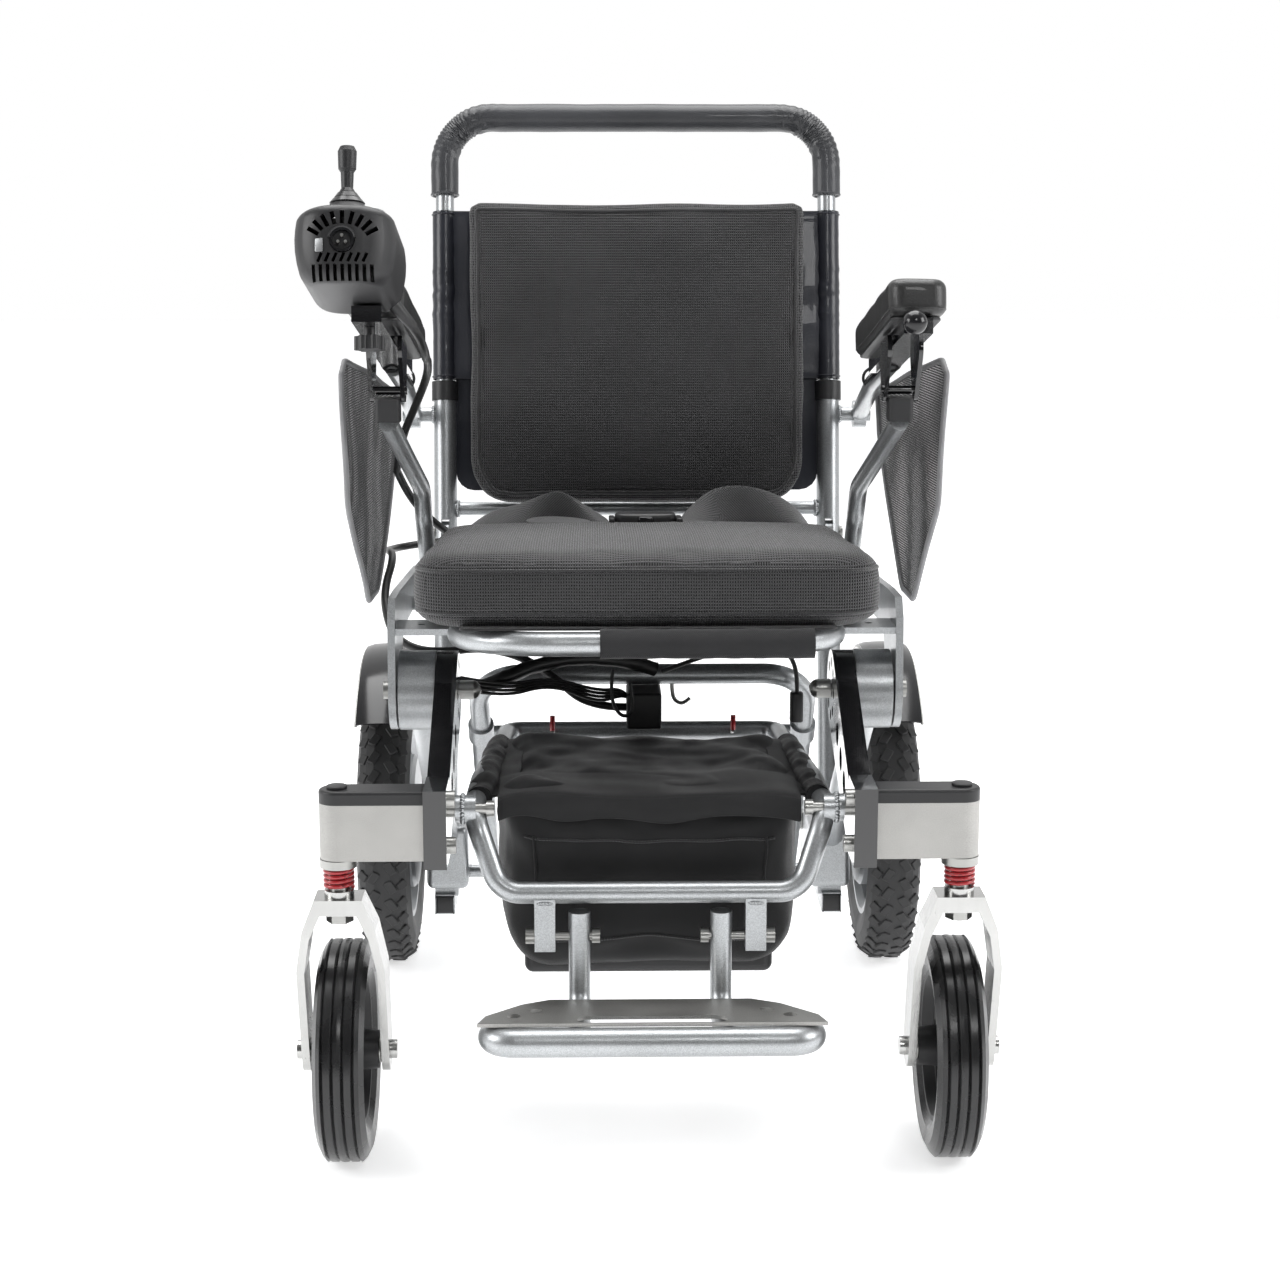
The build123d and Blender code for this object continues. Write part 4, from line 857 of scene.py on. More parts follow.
class WHEELCHAIR_OT_back(bpy.types.Operator):
    """Back pad in spacer mesh, its binding, and the leatherette sleeves round the posts"""

    bl_idname = "wheelchair.back"
    bl_label = "Back"

    def execute(self, context):
        soft = context.scene.wheelchair_soft
        width, height, depth = 0.374, 0.336, 0.026
        round_low = 48 * MM
        bm = slab(width, height, depth, 11 * MM, 9 * MM, 24, 4)
        for vertex in bm.verts:
            u, v, w = (vertex.co.x * 2 / width, vertex.co.y * 2 / height, vertex.co.z * 2 / depth)
            crown = (1 - abs(u) ** 4) * (1 - abs(v) ** 4)
            if w > 0:
                vertex.co.z += 6 * MM * crown
            low = min(round_low, max(0.0, vertex.co.y + height / 2))
            inset = round_low - math.sqrt(round_low ** 2 - (round_low - low) ** 2)
            vertex.co.x *= 1 - inset * 2 / width
            vertex.co.x *= 1 - 0.012 * max(0, -v) ** 2
        upright = tilt(math.pi / 2, "X")
        moved(bm, BACK_FRAME @ shift((0, -22 * MM, height / 2 + 3 * MM)) @ upright)
        piece = put("back_pad", bm, "mesh_fabric", None)
        inflate(piece, 4.5 * MM, soft.swell * 0.8)
        wrinkle(piece, 11, 2.4 * MM)
        soften(piece, 1)
        settle(piece, "mesh_fabric", "backrest", ("back_upholstery",))
        tree = surface(piece)
        for name, inset, radius in (("back_binding", 2 * MM, 2.4 * MM), ("back_stitch", 11 * MM, 0.7 * MM)):
            half_x, half_y = width / 2 - inset, height / 2 - inset
            loop = []
            for point in rounded_loop(half_x, half_y, 9 * MM, 0, 5, 9):
                low = min(round_low, max(0.0, point.y + half_y))
                pull = round_low - math.sqrt(round_low ** 2 - (round_low - low) ** 2)
                loop.append(Vector((point.x * (1 - pull / half_x), point.y, 0)))
            back = BACK_FRAME @ shift((0, -60 * MM, height / 2 + 3 * MM)) @ upright
            points = laid_on(tree, [back @ point for point in loop], -0.2 * MM)
            strand(name, points, radius, "webbing", "backrest", cyclic=True)
        for name, side in SIDES.items():
            self.sleeve(name, side)
        panel = slab(0.40, 0.30, 2 * MM, 20 * MM, 0.6 * MM, 12, 2)
        moved(panel, BACK_FRAME @ shift((0, -3 * MM, 0.172)) @ upright)
        put("back_panel", panel, "leatherette", "backrest", sharp=60)
        return {"FINISHED"}

    def sleeve(self, name, side):
        """A tight sleeve with a few slack bands, stitched to the pad's edge."""
        low, high = 0.651, 0.833
        bm = disc(13.6 * MM, (high - low) / math.cos(RECLINE), 40, capped=False)
        long_edges = [e for e in bm.edges if abs(e.verts[0].co.z - e.verts[1].co.z) > 0.01]
        bmesh.ops.subdivide_edges(bm, edges=long_edges, cuts=90)
        for vertex in bm.verts:
            t = vertex.co.z / (high - low)
            band = math.exp(-((t - 0.02) / 0.05) ** 2) + 0.8 * math.exp(-((t + 0.13) / 0.04) ** 2)
            band += 0.5 * math.exp(-((t - 0.16) / 0.03) ** 2)
            crease = noise.noise(Vector((vertex.co.x * 30, vertex.co.y * 30, vertex.co.z * 130 + side)))
            push = 1 + 0.10 * band * (0.4 + crease) + 0.02 * crease
            vertex.co.x *= push
            vertex.co.y *= push
        thickened(bm, 1.0 * MM)
        place = shift(on_post(side * POST_X, (low + high) / 2)) @ tilt(-RECLINE, "X")
        put("back_sleeve_" + name, moved(bm, place), "leatherette", "backrest")
        wing = slab(34 * MM, (high - low) / math.cos(RECLINE), 2.2 * MM, 0, 0.6 * MM, 20, 2)
        for vertex in wing.verts:
            vertex.co.z += 1.6 * MM * noise.noise(Vector((vertex.co.x * 20, vertex.co.y * 45, side * 3)))
        place = shift(on_post(side * 0.190, (low + high) / 2, 8 * MM)) @ tilt(-RECLINE, "X")
        put("back_wing_" + name, moved(wing, place @ tilt(math.pi / 2, "X")), "leatherette", "backrest")
        stitches = bmesh.new()
        for k in range(34):
            at = on_post(side * 0.178, low + (high - low) * (k + 0.5) / 34, 11 * MM)
            stitch = bar(at - BACK_UP * 1.5 * MM, at + BACK_UP * 1.5 * MM, 0.5 * MM, 6)
            stitches = together(stitches, stitch)
        put("back_stitches_" + name, stitches, "webbing", "backrest")
        for label, z in (("top", high - 3 * MM), ("low", low + 3 * MM)):
            strand(f"sleeve_hem_{label}_{name}", post_ring(side, z, 14.4 * MM), 0.9 * MM, "leatherette",
                   "backrest", cyclic=True)


class WHEELCHAIR_OT_push_handle(bpy.types.Operator):
    """Padded sleeve sewn round the push handle"""

    bl_idname = "wheelchair.push_handle"
    bl_label = "Push Handle Sleeve"

    def execute(self, context):
        bend, top, low = 52 * MM, 0.936, 0.852
        centre_line = []
        for k in range(19):
            centre_line.append(on_post(-POST_X, low + (top - 0.053 - low) * k / 19))
        for side in (-1, 1):
            for k in range(15):
                angle = math.pi / 2 * (k / 14 if side < 0 else 1 - k / 14)
                out = bend * (1 - math.cos(angle))
                up = bend * math.sin(angle)
                point = on_post(side * POST_X, top) - BACK_UP * bend
                centre_line.append(point + BACK_UP * up - Vector((side * out, 0, 0)))
            if side < 0:
                left = on_post(-POST_X, top) + Vector((bend, 0, 0))
                right = on_post(POST_X, top) - Vector((bend, 0, 0))
                centre_line += [left.lerp(right, k / 80) for k in range(1, 80)]
        for k in range(19, 0, -1):
            centre_line.append(on_post(POST_X, low + (top - 0.053 - low) * (k - 1) / 19))
        piece = strand("push_sleeve", centre_line, 15.2 * MM, "grip_cover", None, sides=12)
        corners = [on_post(s * (POST_X - 0.018), top - 0.018) for s in (-1, 1)]

        def slack(at):
            near = min((at - corner).length for corner in corners)
            return math.exp(-(near / 0.042) ** 2)

        normals = [v.normal.copy() for v in piece.data.vertices]
        for vertex, normal in zip(piece.data.vertices, normals):
            corner = min(corners, key=lambda c: (vertex.co - c).length)
            spread = vertex.co - corner
            angle = math.atan2(spread.z, spread.x)
            rib = math.sin(angle * 34 + 3 * noise.noise(vertex.co * 40))
            vertex.co += normal * (0.7 * MM * rib * slack(vertex.co) + 0.5 * MM * noise.noise(vertex.co * 26))
        settle(piece, "grip_cover", "backrest", ("push_grip",))
        seam = [point - BACK_FORWARD * 15.4 * MM for point in centre_line[::4]]
        strand("push_sleeve_seam", seam, 0.8 * MM, "grip_cover", "backrest")
        for name, side in SIDES.items():
            strand("push_cuff_" + name, post_ring(side, low, 15 * MM), 1.4 * MM, "grip_cover", "backrest",
                   cyclic=True)
        return {"FINISHED"}


class WHEELCHAIR_OT_bag(bpy.types.Operator):
    """Battery bag slung between the hanger tubes"""

    bl_idname = "wheelchair.bag"
    bl_label = "Battery Bag"

    def execute(self, context):
        soft = context.scene.wheelchair_soft
        low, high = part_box("battery_bag")
        size = high - low
        middle = (low + high) / 2
        round_low = 46 * MM
        bm = slab(size.x - 8 * MM, size.y - 8 * MM, size.z - 8 * MM, 24 * MM, 14 * MM, 30, 4)
        for vertex in bm.verts:
            u, v, w = (2 * vertex.co.x / size.x, 2 * vertex.co.y / size.y, 2 * vertex.co.z / size.z)
            low_part = min(round_low, max(0.0, vertex.co.z + size.z / 2))
            inset = round_low - math.sqrt(round_low ** 2 - (round_low - low_part) ** 2)
            vertex.co.x *= 1.02 + 0.03 * w - inset * 1.6 / size.x
            if w < 0:
                vertex.co.z *= 0.87
            bulge = (1 - u * u) * (1 - w * w)
            vertex.co.y += 4 * MM * bulge * (1 if v > 0 else -1) * abs(v)
            if w < 0:
                vertex.co.z -= 3 * MM * (1 - u * u) * (1 - v * v)
            if w > 0.5:
                vertex.co.z -= 5 * MM * (1 - u * u) * (1 - v * v)
        moved(bm, shift(middle))
        piece = put("bag_shell", bm, "bag_nylon", None)
        inflate(piece, 5 * MM, soft.swell * 0.6, 2.5)

        def folds(at):
            edge = max(0.0, (at.z - middle.z) / size.z * 2)
            corner = abs(at.x) / size.x * 2
            return 0.4 + edge + corner * 0.8

        wrinkle(piece, 16, soft.fold, folds)
        wrinkle(piece, 42, soft.fold * 0.35, folds)
        soften(piece, 1)
        settle(piece, "bag_nylon", "footrest_hanger", ("battery_bag",))
        tree = surface(piece)
        self.flap(low, high)
        self.sleeves()
        front = low.y + 4 * MM
        for name, z in (("bag_zip", high.z - 46 * MM), ("bag_seam_low", low.z + 40 * MM)):
            points = [(x * size.x / 2 * 0.93, front - 20 * MM, z) for x in [k / 8 - 1 for k in range(17)]]
            strand(name, laid_on(tree, points, 0.3 * MM), 1.1 * MM, "webbing", "footrest_hanger")
        for k, x in enumerate((-0.108, 0.108)):
            points = [(x, front - 20 * MM, low.z + 50 * MM + j * 11 * MM) for j in range(9)]
            strand(f"bag_edge_{k}", laid_on(tree, points, 0.3 * MM), 1.2 * MM, "bag_nylon", "footrest_hanger")
        return {"FINISHED"}

    def flap(self, low, high):
        """The lid's front lip, a wavy hem that hangs over the bag's face."""
        bm = bmesh.new()
        bmesh.ops.create_grid(bm, x_segments=60, y_segments=14, size=0.5)
        width = high.x - low.x
        for vertex in bm.verts:
            across, along = vertex.co.x * 2, vertex.co.y + 0.5
            x = across * width / 2 * 1.02
            drop = max(0.0, along - 0.45) / 0.55
            hem = 3 * MM * noise.noise(Vector((x * 22, 1.7, 0))) + 2 * MM * math.sin(across * 9)
            y = low.y + 0.075 * (1 - min(1, along / 0.45)) - 4.5 * MM * min(1, along / 0.45)
            y -= 2.5 * MM * math.sin(drop * 2.4) + 2 * MM * noise.noise(Vector((x * 30, along * 3, 5)))
            z = high.z - 6 * MM + 7 * MM * across * across - 9 * MM * abs(across) ** 7
            z -= (21 * MM + hem) * drop
            z += 2.5 * MM * noise.noise(Vector((x * 18, along * 5, 9))) * (1 - drop)
            vertex.co = Vector((x, y, z))
        thickened(bm, 1.4 * MM)
        flap = put("bag_flap", bm, "bag_nylon", "footrest_hanger")
        soften(flap, 1)
        cloth_map(flap.data)

    def sleeves(self):
        """Loops of the bag's cloth round each side tube of the hanger."""
        for name, side in SIDES.items():
            start, end = Vector((side * 0.1505, -0.318, 0.331)), Vector((side * 0.1405, -0.098, 0.3265))
            points = [start.lerp(end, k / 40) for k in range(41)]
            piece = strand("bag_loop_" + name, points, 11.4 * MM, "bag_nylon", None, sides=8)
            wrinkle(piece, 60, 2.2 * MM)
            wrinkle(piece, 24, 1.6 * MM)
            settle(piece, "bag_nylon", "footrest_hanger")
            web = slab(24 * MM, 0.212, 2.5 * MM, 0, 0.6 * MM, 16, 2)
            for vertex in web.verts:
                vertex.co.z += 2.5 * MM * noise.noise(Vector((vertex.co.x * 30, vertex.co.y * 30, side)))
            place = shift((side * 0.128, -0.208, 0.333)) @ tilt(side * 0.12, "Y")
            put("bag_web_" + name, moved(web, place), "bag_nylon", "footrest_hanger")


class WHEELCHAIR_OT_armrests(bpy.types.Operator):
    """Armrest pads, their base plates, and the side guards"""

    bl_idname = "wheelchair.armrests"
    bl_label = "Armrests"

    def execute(self, context):
        for name, side in SIDES.items():
            self.pad(name, side)
            self.guard(name, side)
        return {"FINISHED"}

    def pad(self, name, side):
        """An armrest's padded top, its seam and the plate under it."""
        bm = slab(53 * MM, 0.298, 33 * MM, 16 * MM, 8 * MM, 26, 5)
        for vertex in bm.verts:
            u, v = vertex.co.x / 0.0265, vertex.co.y / 0.149
            if vertex.co.z > 0:
                vertex.co.z += 3.0 * MM * (1 - u * u) * (1 - v ** 6) - 2.0 * MM * abs(v) ** 8
            vertex.co.x *= 1 - 0.05 * (1 - v * v) * (0.5 - vertex.co.z / 0.033)
        place = PAD_FRAME.copy()
        place.translation.x *= side
        moved(bm, place @ shift((0, 0.150, -18.5 * MM)))
        piece = put("arm_pad_" + name, bm, "arm_pad", None)
        wrinkle(piece, 24, 0.9 * MM)
        soften(piece, 1)
        settle(piece, "arm_pad", "armrest_" + name, ("armrest_pad_" + name,))
        plate = slab(46 * MM, 0.27, 3 * MM, 12 * MM, 1 * MM, 0, 2)
        put("arm_plate_" + name, moved(plate, place @ shift((0, 0.150, -36.6 * MM))),
            "black_plastic", "armrest_" + name)
        tree = surface(piece)
        loop = [place @ (point + Vector((0, 0.150, 0))) for point in
                rounded_loop(26 * MM, 0.148, 15 * MM, -29 * MM, 4, 6)]
        strand("arm_pad_seam_" + name, laid_on(tree, loop, 0.1 * MM), 0.7 * MM, "arm_pad",
               "armrest_" + name, cyclic=True)

    def guard(self, name, side):
        """A side guard of net, its taped edge and the straps that hold it to the armrest."""
        outline = (
            (236, 640), (222, 596), (76, 452), (16, 450), (-94, 560), (-119, 690), (-94, 702), (58, 676),
        )
        points = []
        for y, z in outline:
            x = 262 + (236 - y) / 355 * 24
            points.append(Vector((side * x, y, z)) * MM)
        bm = bmesh.new()
        face = bm.faces.new([bm.verts.new(point) for point in points])
        bmesh.ops.triangulate(bm, faces=[face])
        bmesh.ops.subdivide_edges(bm, edges=bm.edges, cuts=11, use_grid_fill=True)
        for vertex in bm.verts:
            wave = noise.noise(Vector((vertex.co.y * 9, vertex.co.z * 9, side * 4)))
            vertex.co.x += side * 3.5 * MM * wave
        thickened(bm, 1.2 * MM)
        piece = put("guard_net_" + name, bm, "guard_mesh", "armrest_" + name, ("side_guard_" + name,))
        tree = surface(piece)
        tape = []
        for a, b in zip(points, points[1:] + points[:1]):
            tape += [a.lerp(b, k / 5) for k in range(5)]
        edge = strand("guard_tape_" + name, laid_on(tree, tape, 0), 2.8 * MM, "guard_mesh", "armrest_" + name,
                      cyclic=True)
        edge.data.materials[0] = LOOKS["edge_tape"]
        for k, (y, z) in enumerate(((0.15, 0.664), (0.0, 0.694))):
            ring = [Vector((side * 0.247, y, z)) + Vector((math.cos(a), 0, math.sin(a))) * 11 * MM
                    for a in [j * math.pi / 5 for j in range(10)]]
            strand(f"guard_strap_{k}_{name}", ring, 1.6 * MM, "webbing", "armrest_" + name, cyclic=True)


class WHEELCHAIR_OT_controller(bpy.types.Operator):
    """Joystick controller: vented shell, port, boot and key slot"""

    bl_idname = "wheelchair.controller"
    bl_label = "Controller"

    def execute(self, context):
        width, length, height = 82 * MM, 160 * MM, 60 * MM
        bm = slab(width, length, height, 30 * MM, 9 * MM, 20, 6)
        for vertex in bm.verts:
            w = vertex.co.z * 2 / height
            drop = max(0.0, 0.1 - w) / 1.1
            vertex.co.x *= 1.04 - 0.20 * drop ** 2.0 - 0.08 * max(0, w) ** 2
            vertex.co.y *= 1 - 0.05 * drop ** 1.8
            if w < 0:
                vertex.co.z *= 1.16
            vertex.co.z -= 4 * MM * max(0, w) ** 2 * (abs(vertex.co.x) / width * 2) ** 2
        shell = put("controller_case", bm, "black_plastic", None)
        shell.data.transform(DECK)
        self.cut(shell, length, height)
        settle(shell, "black_plastic", "armrest_right", ("controller_shell", "controller_panel"), sharp=40)
        self.face(height)
        self.port(length)
        return {"FINISHED"}

    def cut(self, shell, length, height):
        """Cuts the vents, the port, the panel's recess and the stick's hole."""
        cutters = bmesh.new()
        front = -length / 2
        for k in range(9):
            angle = math.radians(-64 + 16 * k)
            x, z = 24 * MM * math.sin(angle) * 1.12, -2 * MM + 20 * MM * math.cos(angle)
            slot = slab(3.6 * MM, 44 * MM, 11 * MM, 0, 0, 0)
            turn = tilt(angle * 0.9, "Y")
            cutters = together(cutters, moved(slot, shift((x, front + 2 * MM, z)) @ turn))
        for k in range(7):
            slot = slab(2.6 * MM, 40 * MM, 8 * MM, 0, 0, 0)
            turn = Matrix.Rotation(math.radians(24), 4, "Y")
            place = shift(((k - 3) * 6.2 * MM, front + 4 * MM, -15 * MM)) @ turn
            cutters = together(cutters, moved(slot, place))
        for k in range(9):
            slot = slab(3.0 * MM, 30 * MM, 13 * MM, 0, 0, 0)
            place = shift(((k - 4) * 6 * MM, front + 4 * MM, -27 * MM))
            cutters = together(cutters, moved(slot, place))
        hole = disc(10.5 * MM, 30 * MM, 40)
        place = shift((0, front + 2 * MM, -1 * MM)) @ tilt(math.pi / 2, "X")
        cutters = together(cutters, moved(hole, place))
        recess = slab(66 * MM, 140 * MM, 6 * MM, 24 * MM, 0, 0)
        cutters = together(cutters, moved(recess, shift((0, 2 * MM, height / 2))))
        well = disc(21 * MM, 46 * MM, 48)
        cutters = together(cutters, moved(well, shift((0, -38 * MM, height / 2 - 6 * MM))))
        carve(shell, cutters, overlapping=True)

    def face(self, height):
        """The silver face with its holes, the stick's well and boot, and the gauge lamps."""
        top = height / 2
        bm = slab(65.4 * MM, 139.4 * MM, 2.6 * MM, 23.6 * MM, 0.7 * MM, 0, 3)
        plate = put("controller_face", bm, "panel_face", None)
        plate.data.transform(DECK @ shift((0, 2 * MM, top - 1.2 * MM)))
        hole = disc(20.8 * MM, 20 * MM, 48)
        key = slab(21 * MM, 15 * MM, 20 * MM, 3 * MM, 0)
        moved(hole, shift((0, -38 * MM, top)))
        carve(plate, together(hole, moved(key, shift((0, 46 * MM, top)))))
        settle(plate, "panel_face", "armrest_right")
        floor = disc(20.6 * MM, 1.5 * MM, 48)
        moved(floor, DECK @ shift((0, -38 * MM, top - 26 * MM)))
        put("stick_well", floor, "black_plastic", "armrest_right")
        for k in range(3):
            bellows = disc((15 - 4 * k) * MM, 4 * MM, 40, capped=False, radius_end=(11.5 - 3.4 * k) * MM)
            thickened(bellows, 1.2 * MM)
            moved(bellows, DECK @ shift((0, -38 * MM, top + (11 + 4.6 * k) * MM)))
            put(f"stick_boot_{k}", bellows, "caster_rubber", "stick")
        for k in range(5):
            lamp = slab(7 * MM, 3 * MM, 1.2 * MM, 1 * MM, 0.3 * MM)
            moved(lamp, DECK @ shift(((k - 2) * 10 * MM, 14 * MM, top + 0.3 * MM)))
            put(f"gauge_lamp_{k}", lamp, "gloss_plastic", "armrest_right")

    def port(self, length):
        """The round charging port, its pins, its hood and the blank label plate."""
        front = DECK @ shift((0, -length / 2, -1 * MM)) @ tilt(math.pi / 2, "X")
        ring = disc(10 * MM, 13 * MM, 40, capped=False)
        thickened(ring, 1.8 * MM)
        moved(ring, front @ shift((0, 0, -4 * MM)))
        put("port_ring", ring, "gloss_plastic", "armrest_right")
        core = disc(8 * MM, 6 * MM, 32)
        moved(core, front @ shift((0, 0, -6 * MM)))
        put("port_core", core, "black_plastic", "armrest_right")
        pins = bmesh.new()
        for k in range(3):
            angle = math.radians(90 + 120 * k)
            pin = disc(1.3 * MM, 7 * MM, 12)
            at = (3.6 * MM * math.cos(angle), 3.6 * MM * math.sin(angle), -1 * MM)
            moved(pin, front @ shift(at))
            pins = together(pins, pin)
        put("port_pins", pins, "zinc_steel", "armrest_right")
        hood = disc(14 * MM, 6 * MM, 40, capped=False, radius_end=11 * MM)
        bmesh.ops.bisect_plane(hood, geom=hood.verts[:] + hood.edges[:] + hood.faces[:],
                               plane_co=(0, 2 * MM, 0), plane_no=(0, 1, 0), clear_inner=True)
        thickened(hood, 2 * MM)
        put("port_hood", moved(hood, front), "black_plastic", "armrest_right")
        label = slab(7 * MM, 11 * MM, 0.5 * MM, 1 * MM, 0.2 * MM)
        moved(label, front @ shift((-19 * MM, -4 * MM, -1.2 * MM)) @ tilt(-0.35, "Y"))
        put("blank_label", label, "panel_face", "armrest_right")


class WHEELCHAIR_OT_belt(bpy.types.Operator):
    """Lap belt lying across the cushion, with its buckle"""

    bl_idname = "wheelchair.belt"
    bl_label = "Lap Belt"

    def execute(self, context):
        top = 0.084
        right = [
            ((-0.195, 0.452, 0.010), (0, 0.019, 0)),
            ((-0.192, 0.446, 0.062), (0.004, 0.019, 0.002)),
            ((-0.170, 0.420, top + 0.003), (0.008, 0.018, 0.005)),
            ((-0.128, 0.400, top + 0.004), (0.004, 0.015, 0.012)),
            ((-0.094, 0.384, top + 0.013), (0.002, 0.004, 0.020)),
            ((-0.070, 0.366, top + 0.015), (-0.008, 0.010, 0.016)),
            ((-0.050, 0.342, top + 0.008), (-0.004, 0.018, 0.008)),
            ((-0.032, 0.322, top + 0.004), (0, 0.0205, 0)),
        ]
        left = [
            ((0.195, 0.452, 0.010), (0, 0.019, 0)),
            ((0.191, 0.446, 0.060), (0.004, 0.019, 0.002)),
            ((0.164, 0.424, top + 0.008), (-0.004, 0.016, 0.013)),
            ((0.120, 0.398, top + 0.016), (-0.004, 0.007, 0.021)),
            ((0.082, 0.374, top + 0.018), (-0.006, 0.009, 0.020)),
            ((0.056, 0.345, top + 0.008), (-0.004, 0.018, 0.010)),
            ((0.038, 0.322, top + 0.004), (0, 0.0205, 0)),
        ]
        tail = [
            ((-0.120, 0.350, top + 0.003), (0, 0.020, 0.002)),
            ((-0.085, 0.322, top + 0.006), (0.006, 0.018, 0.003)),
            ((-0.050, 0.300, top + 0.004), (0.008, 0.018, 0)),
        ]
        turn = SEAT_FRAME.to_3x3()
        for name, run in (("right", right), ("left", left), ("tail", tail)):
            stations = [(SEAT_FRAME @ Vector(point), turn @ Vector(half)) for point, half in run]
            strap = ribbon("belt_" + name, stations, 2.0 * MM, "webbing", "rear_frame")
            if name in SIDES:
                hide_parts("seat_belt")
        body = slab(62 * MM, 44 * MM, 13 * MM, 7 * MM, 4 * MM, 12, 4)
        for vertex in body.verts:
            vertex.co.y *= 1 - 0.22 * (abs(vertex.co.x) / (31 * MM)) ** 3
        place = SEAT_FRAME @ shift((0.004, 0.320, top + 0.005))
        put("buckle_body", moved(body, place), "black_plastic", "rear_frame", ("belt_buckle",))
        for k, side in enumerate((-1, 1)):
            prong = slab(16 * MM, 9 * MM, 8 * MM, 3 * MM, 2 * MM, 0, 3)
            put(f"buckle_prong_{k}", moved(prong, place @ shift((0, side * 20 * MM, 0))),
                "gloss_plastic", "rear_frame")
            bridge = slab(6 * MM, 50 * MM, 5 * MM, 2 * MM, 1.5 * MM, 0, 3)
            put(f"buckle_bar_{k}", moved(bridge, place @ shift((side * 34 * MM, 0, 0))),
                "black_plastic", "rear_frame")
        return {"FINISHED"}


class WHEELCHAIR_OT_wheels(bpy.types.Operator):
    """Treads, hub trim, mudguards and caster details"""

    bl_idname = "wheelchair.wheels"
    bl_label = "Wheels"

    def execute(self, context):
        for name, side in SIDES.items():
            self.tread(name, side)
            self.hub(name, side)
            self.mudguard(name, side)
            self.caster(name, side)
        return {"FINISHED"}

    def tread(self, name, side):
        """Curved blocks that stand out of the tyre."""
        centre = rear_hub(side)
        blocks = bmesh.new()
        count = 44
        for k in range(count):
            for half in (-1, 1):
                for row, (x, rise, length, width) in enumerate(((9, 0.9, 15, 7), (20.5, -4.6, 11, 8))):
                    block = slab(width * 1.35 * MM, length * MM, 4.4 * MM, 1.6 * MM, 0.8 * MM, 0, 1)
                    lean = Matrix.Rotation(half * math.radians(30), 4, "Z")
                    tip = Matrix.Rotation(half * math.radians(34 * row), 4, "Y")
                    place = (Matrix.Rotation(2 * math.pi * (k + 0.5 * (half > 0)) / count, 4, "X")
                             @ shift((half * x * MM, 0, (154.4 + rise) * MM)) @ tip @ lean)
                    blocks = together(blocks, moved(block, place))
        moved(blocks, shift(centre))
        put("tread_" + name, blocks, "tyre_rubber", "rear_wheel_" + name)

    def hub(self, name, side):
        """Hub cap and the screws round it."""
        centre = rear_hub(side)
        screws = bmesh.new()
        for k in range(6):
            angle = math.pi / 3 * k
            at = centre + Vector((side * 30 * MM, 52 * MM * math.cos(angle), 52 * MM * math.sin(angle)))
            inner, outer = at - Vector((side * 3 * MM, 0, 0)), at + Vector((side * 2 * MM, 0, 0))
            screws = together(screws, bar(inner, outer, 4 * MM, 12))
        put("hub_screws_" + name, screws, "zinc_steel", "rear_wheel_" + name)
        inner, outer = centre + Vector((side * 28 * MM, 0, 0)), centre + Vector((side * 34 * MM, 0, 0))
        cap = bar(inner, outer, 17 * MM, 40)
        put("hub_cap_" + name, cap, "black_plastic", "rear_wheel_" + name)

    def mudguard(self, name, side):
        """Gloss guard with a rolled rim, curved over the tyre."""
        centre = rear_hub(side)
        bm = bmesh.new()
        profile = ((-27, 194), (-26, 198), (-18, 200.5), (0, 201.5), (18, 200.5), (26, 198), (27, 194))
        ring = [bm.verts.new((x * MM, 0, r * MM)) for x, r in profile]
        edges = [bm.edges.new(pair) for pair in zip(ring, ring[1:])]
        bmesh.ops.rotate(bm, verts=bm.verts, cent=(0, 0, 0), matrix=Matrix.Rotation(math.radians(44), 3, "X"))
        bmesh.ops.spin(bm, geom=ring + edges, cent=(0, 0, 0), axis=(1, 0, 0), angle=math.radians(-72),
                       steps=40)
        thickened(bm, 2 * MM)
        put("mudguard_" + name, moved(bm, shift(centre)), "gloss_plastic", "rear_frame", ("fenders",))
        turns = [Matrix.Rotation(math.radians(44 - 72 * k / 24), 3, "X") for k in range(25)]
        for x in (-26.5, 26.5):
            points = [centre + turn @ Vector((x * MM, 0, 195 * MM)) for turn in turns]
            strand(f"mudguard_bead_{name}_{int(x > 0)}", points, 1.3 * MM, "zinc_steel", "rear_frame")
        tab_y = on_post(0, 0.351).y
        tab = slab(36 * MM, 16 * MM, 4 * MM, 3 * MM, 0.8 * MM, 0, 2)
        moved(tab, shift((side * 0.243, tab_y, 0.351)))
        put("mudguard_tab_" + name, tab, "silver_paint", "rear_frame")

    def caster(self, name, side):
        """Bearing caps of a caster, and the plug on top of its stem."""
        centre = Vector((side * 0.272, -0.324, 0.100))
        for k, out in enumerate((-1, 1)):
            inner, outer = centre + Vector((out * 27 * MM, 0, 0)), centre + Vector((out * 31 * MM, 0, 0))
            cap = bar(inner, outer, 12 * MM, 32)
            put(f"caster_bearing_{name}_{k}", cap, "zinc_steel", "caster_" + name)
        plug = bar((side * 0.272, -0.362, 0.353), (side * 0.272, -0.362, 0.3555), 9 * MM, 32)
        put("stem_plug_" + name, plug, "black_plastic", "front_frame")


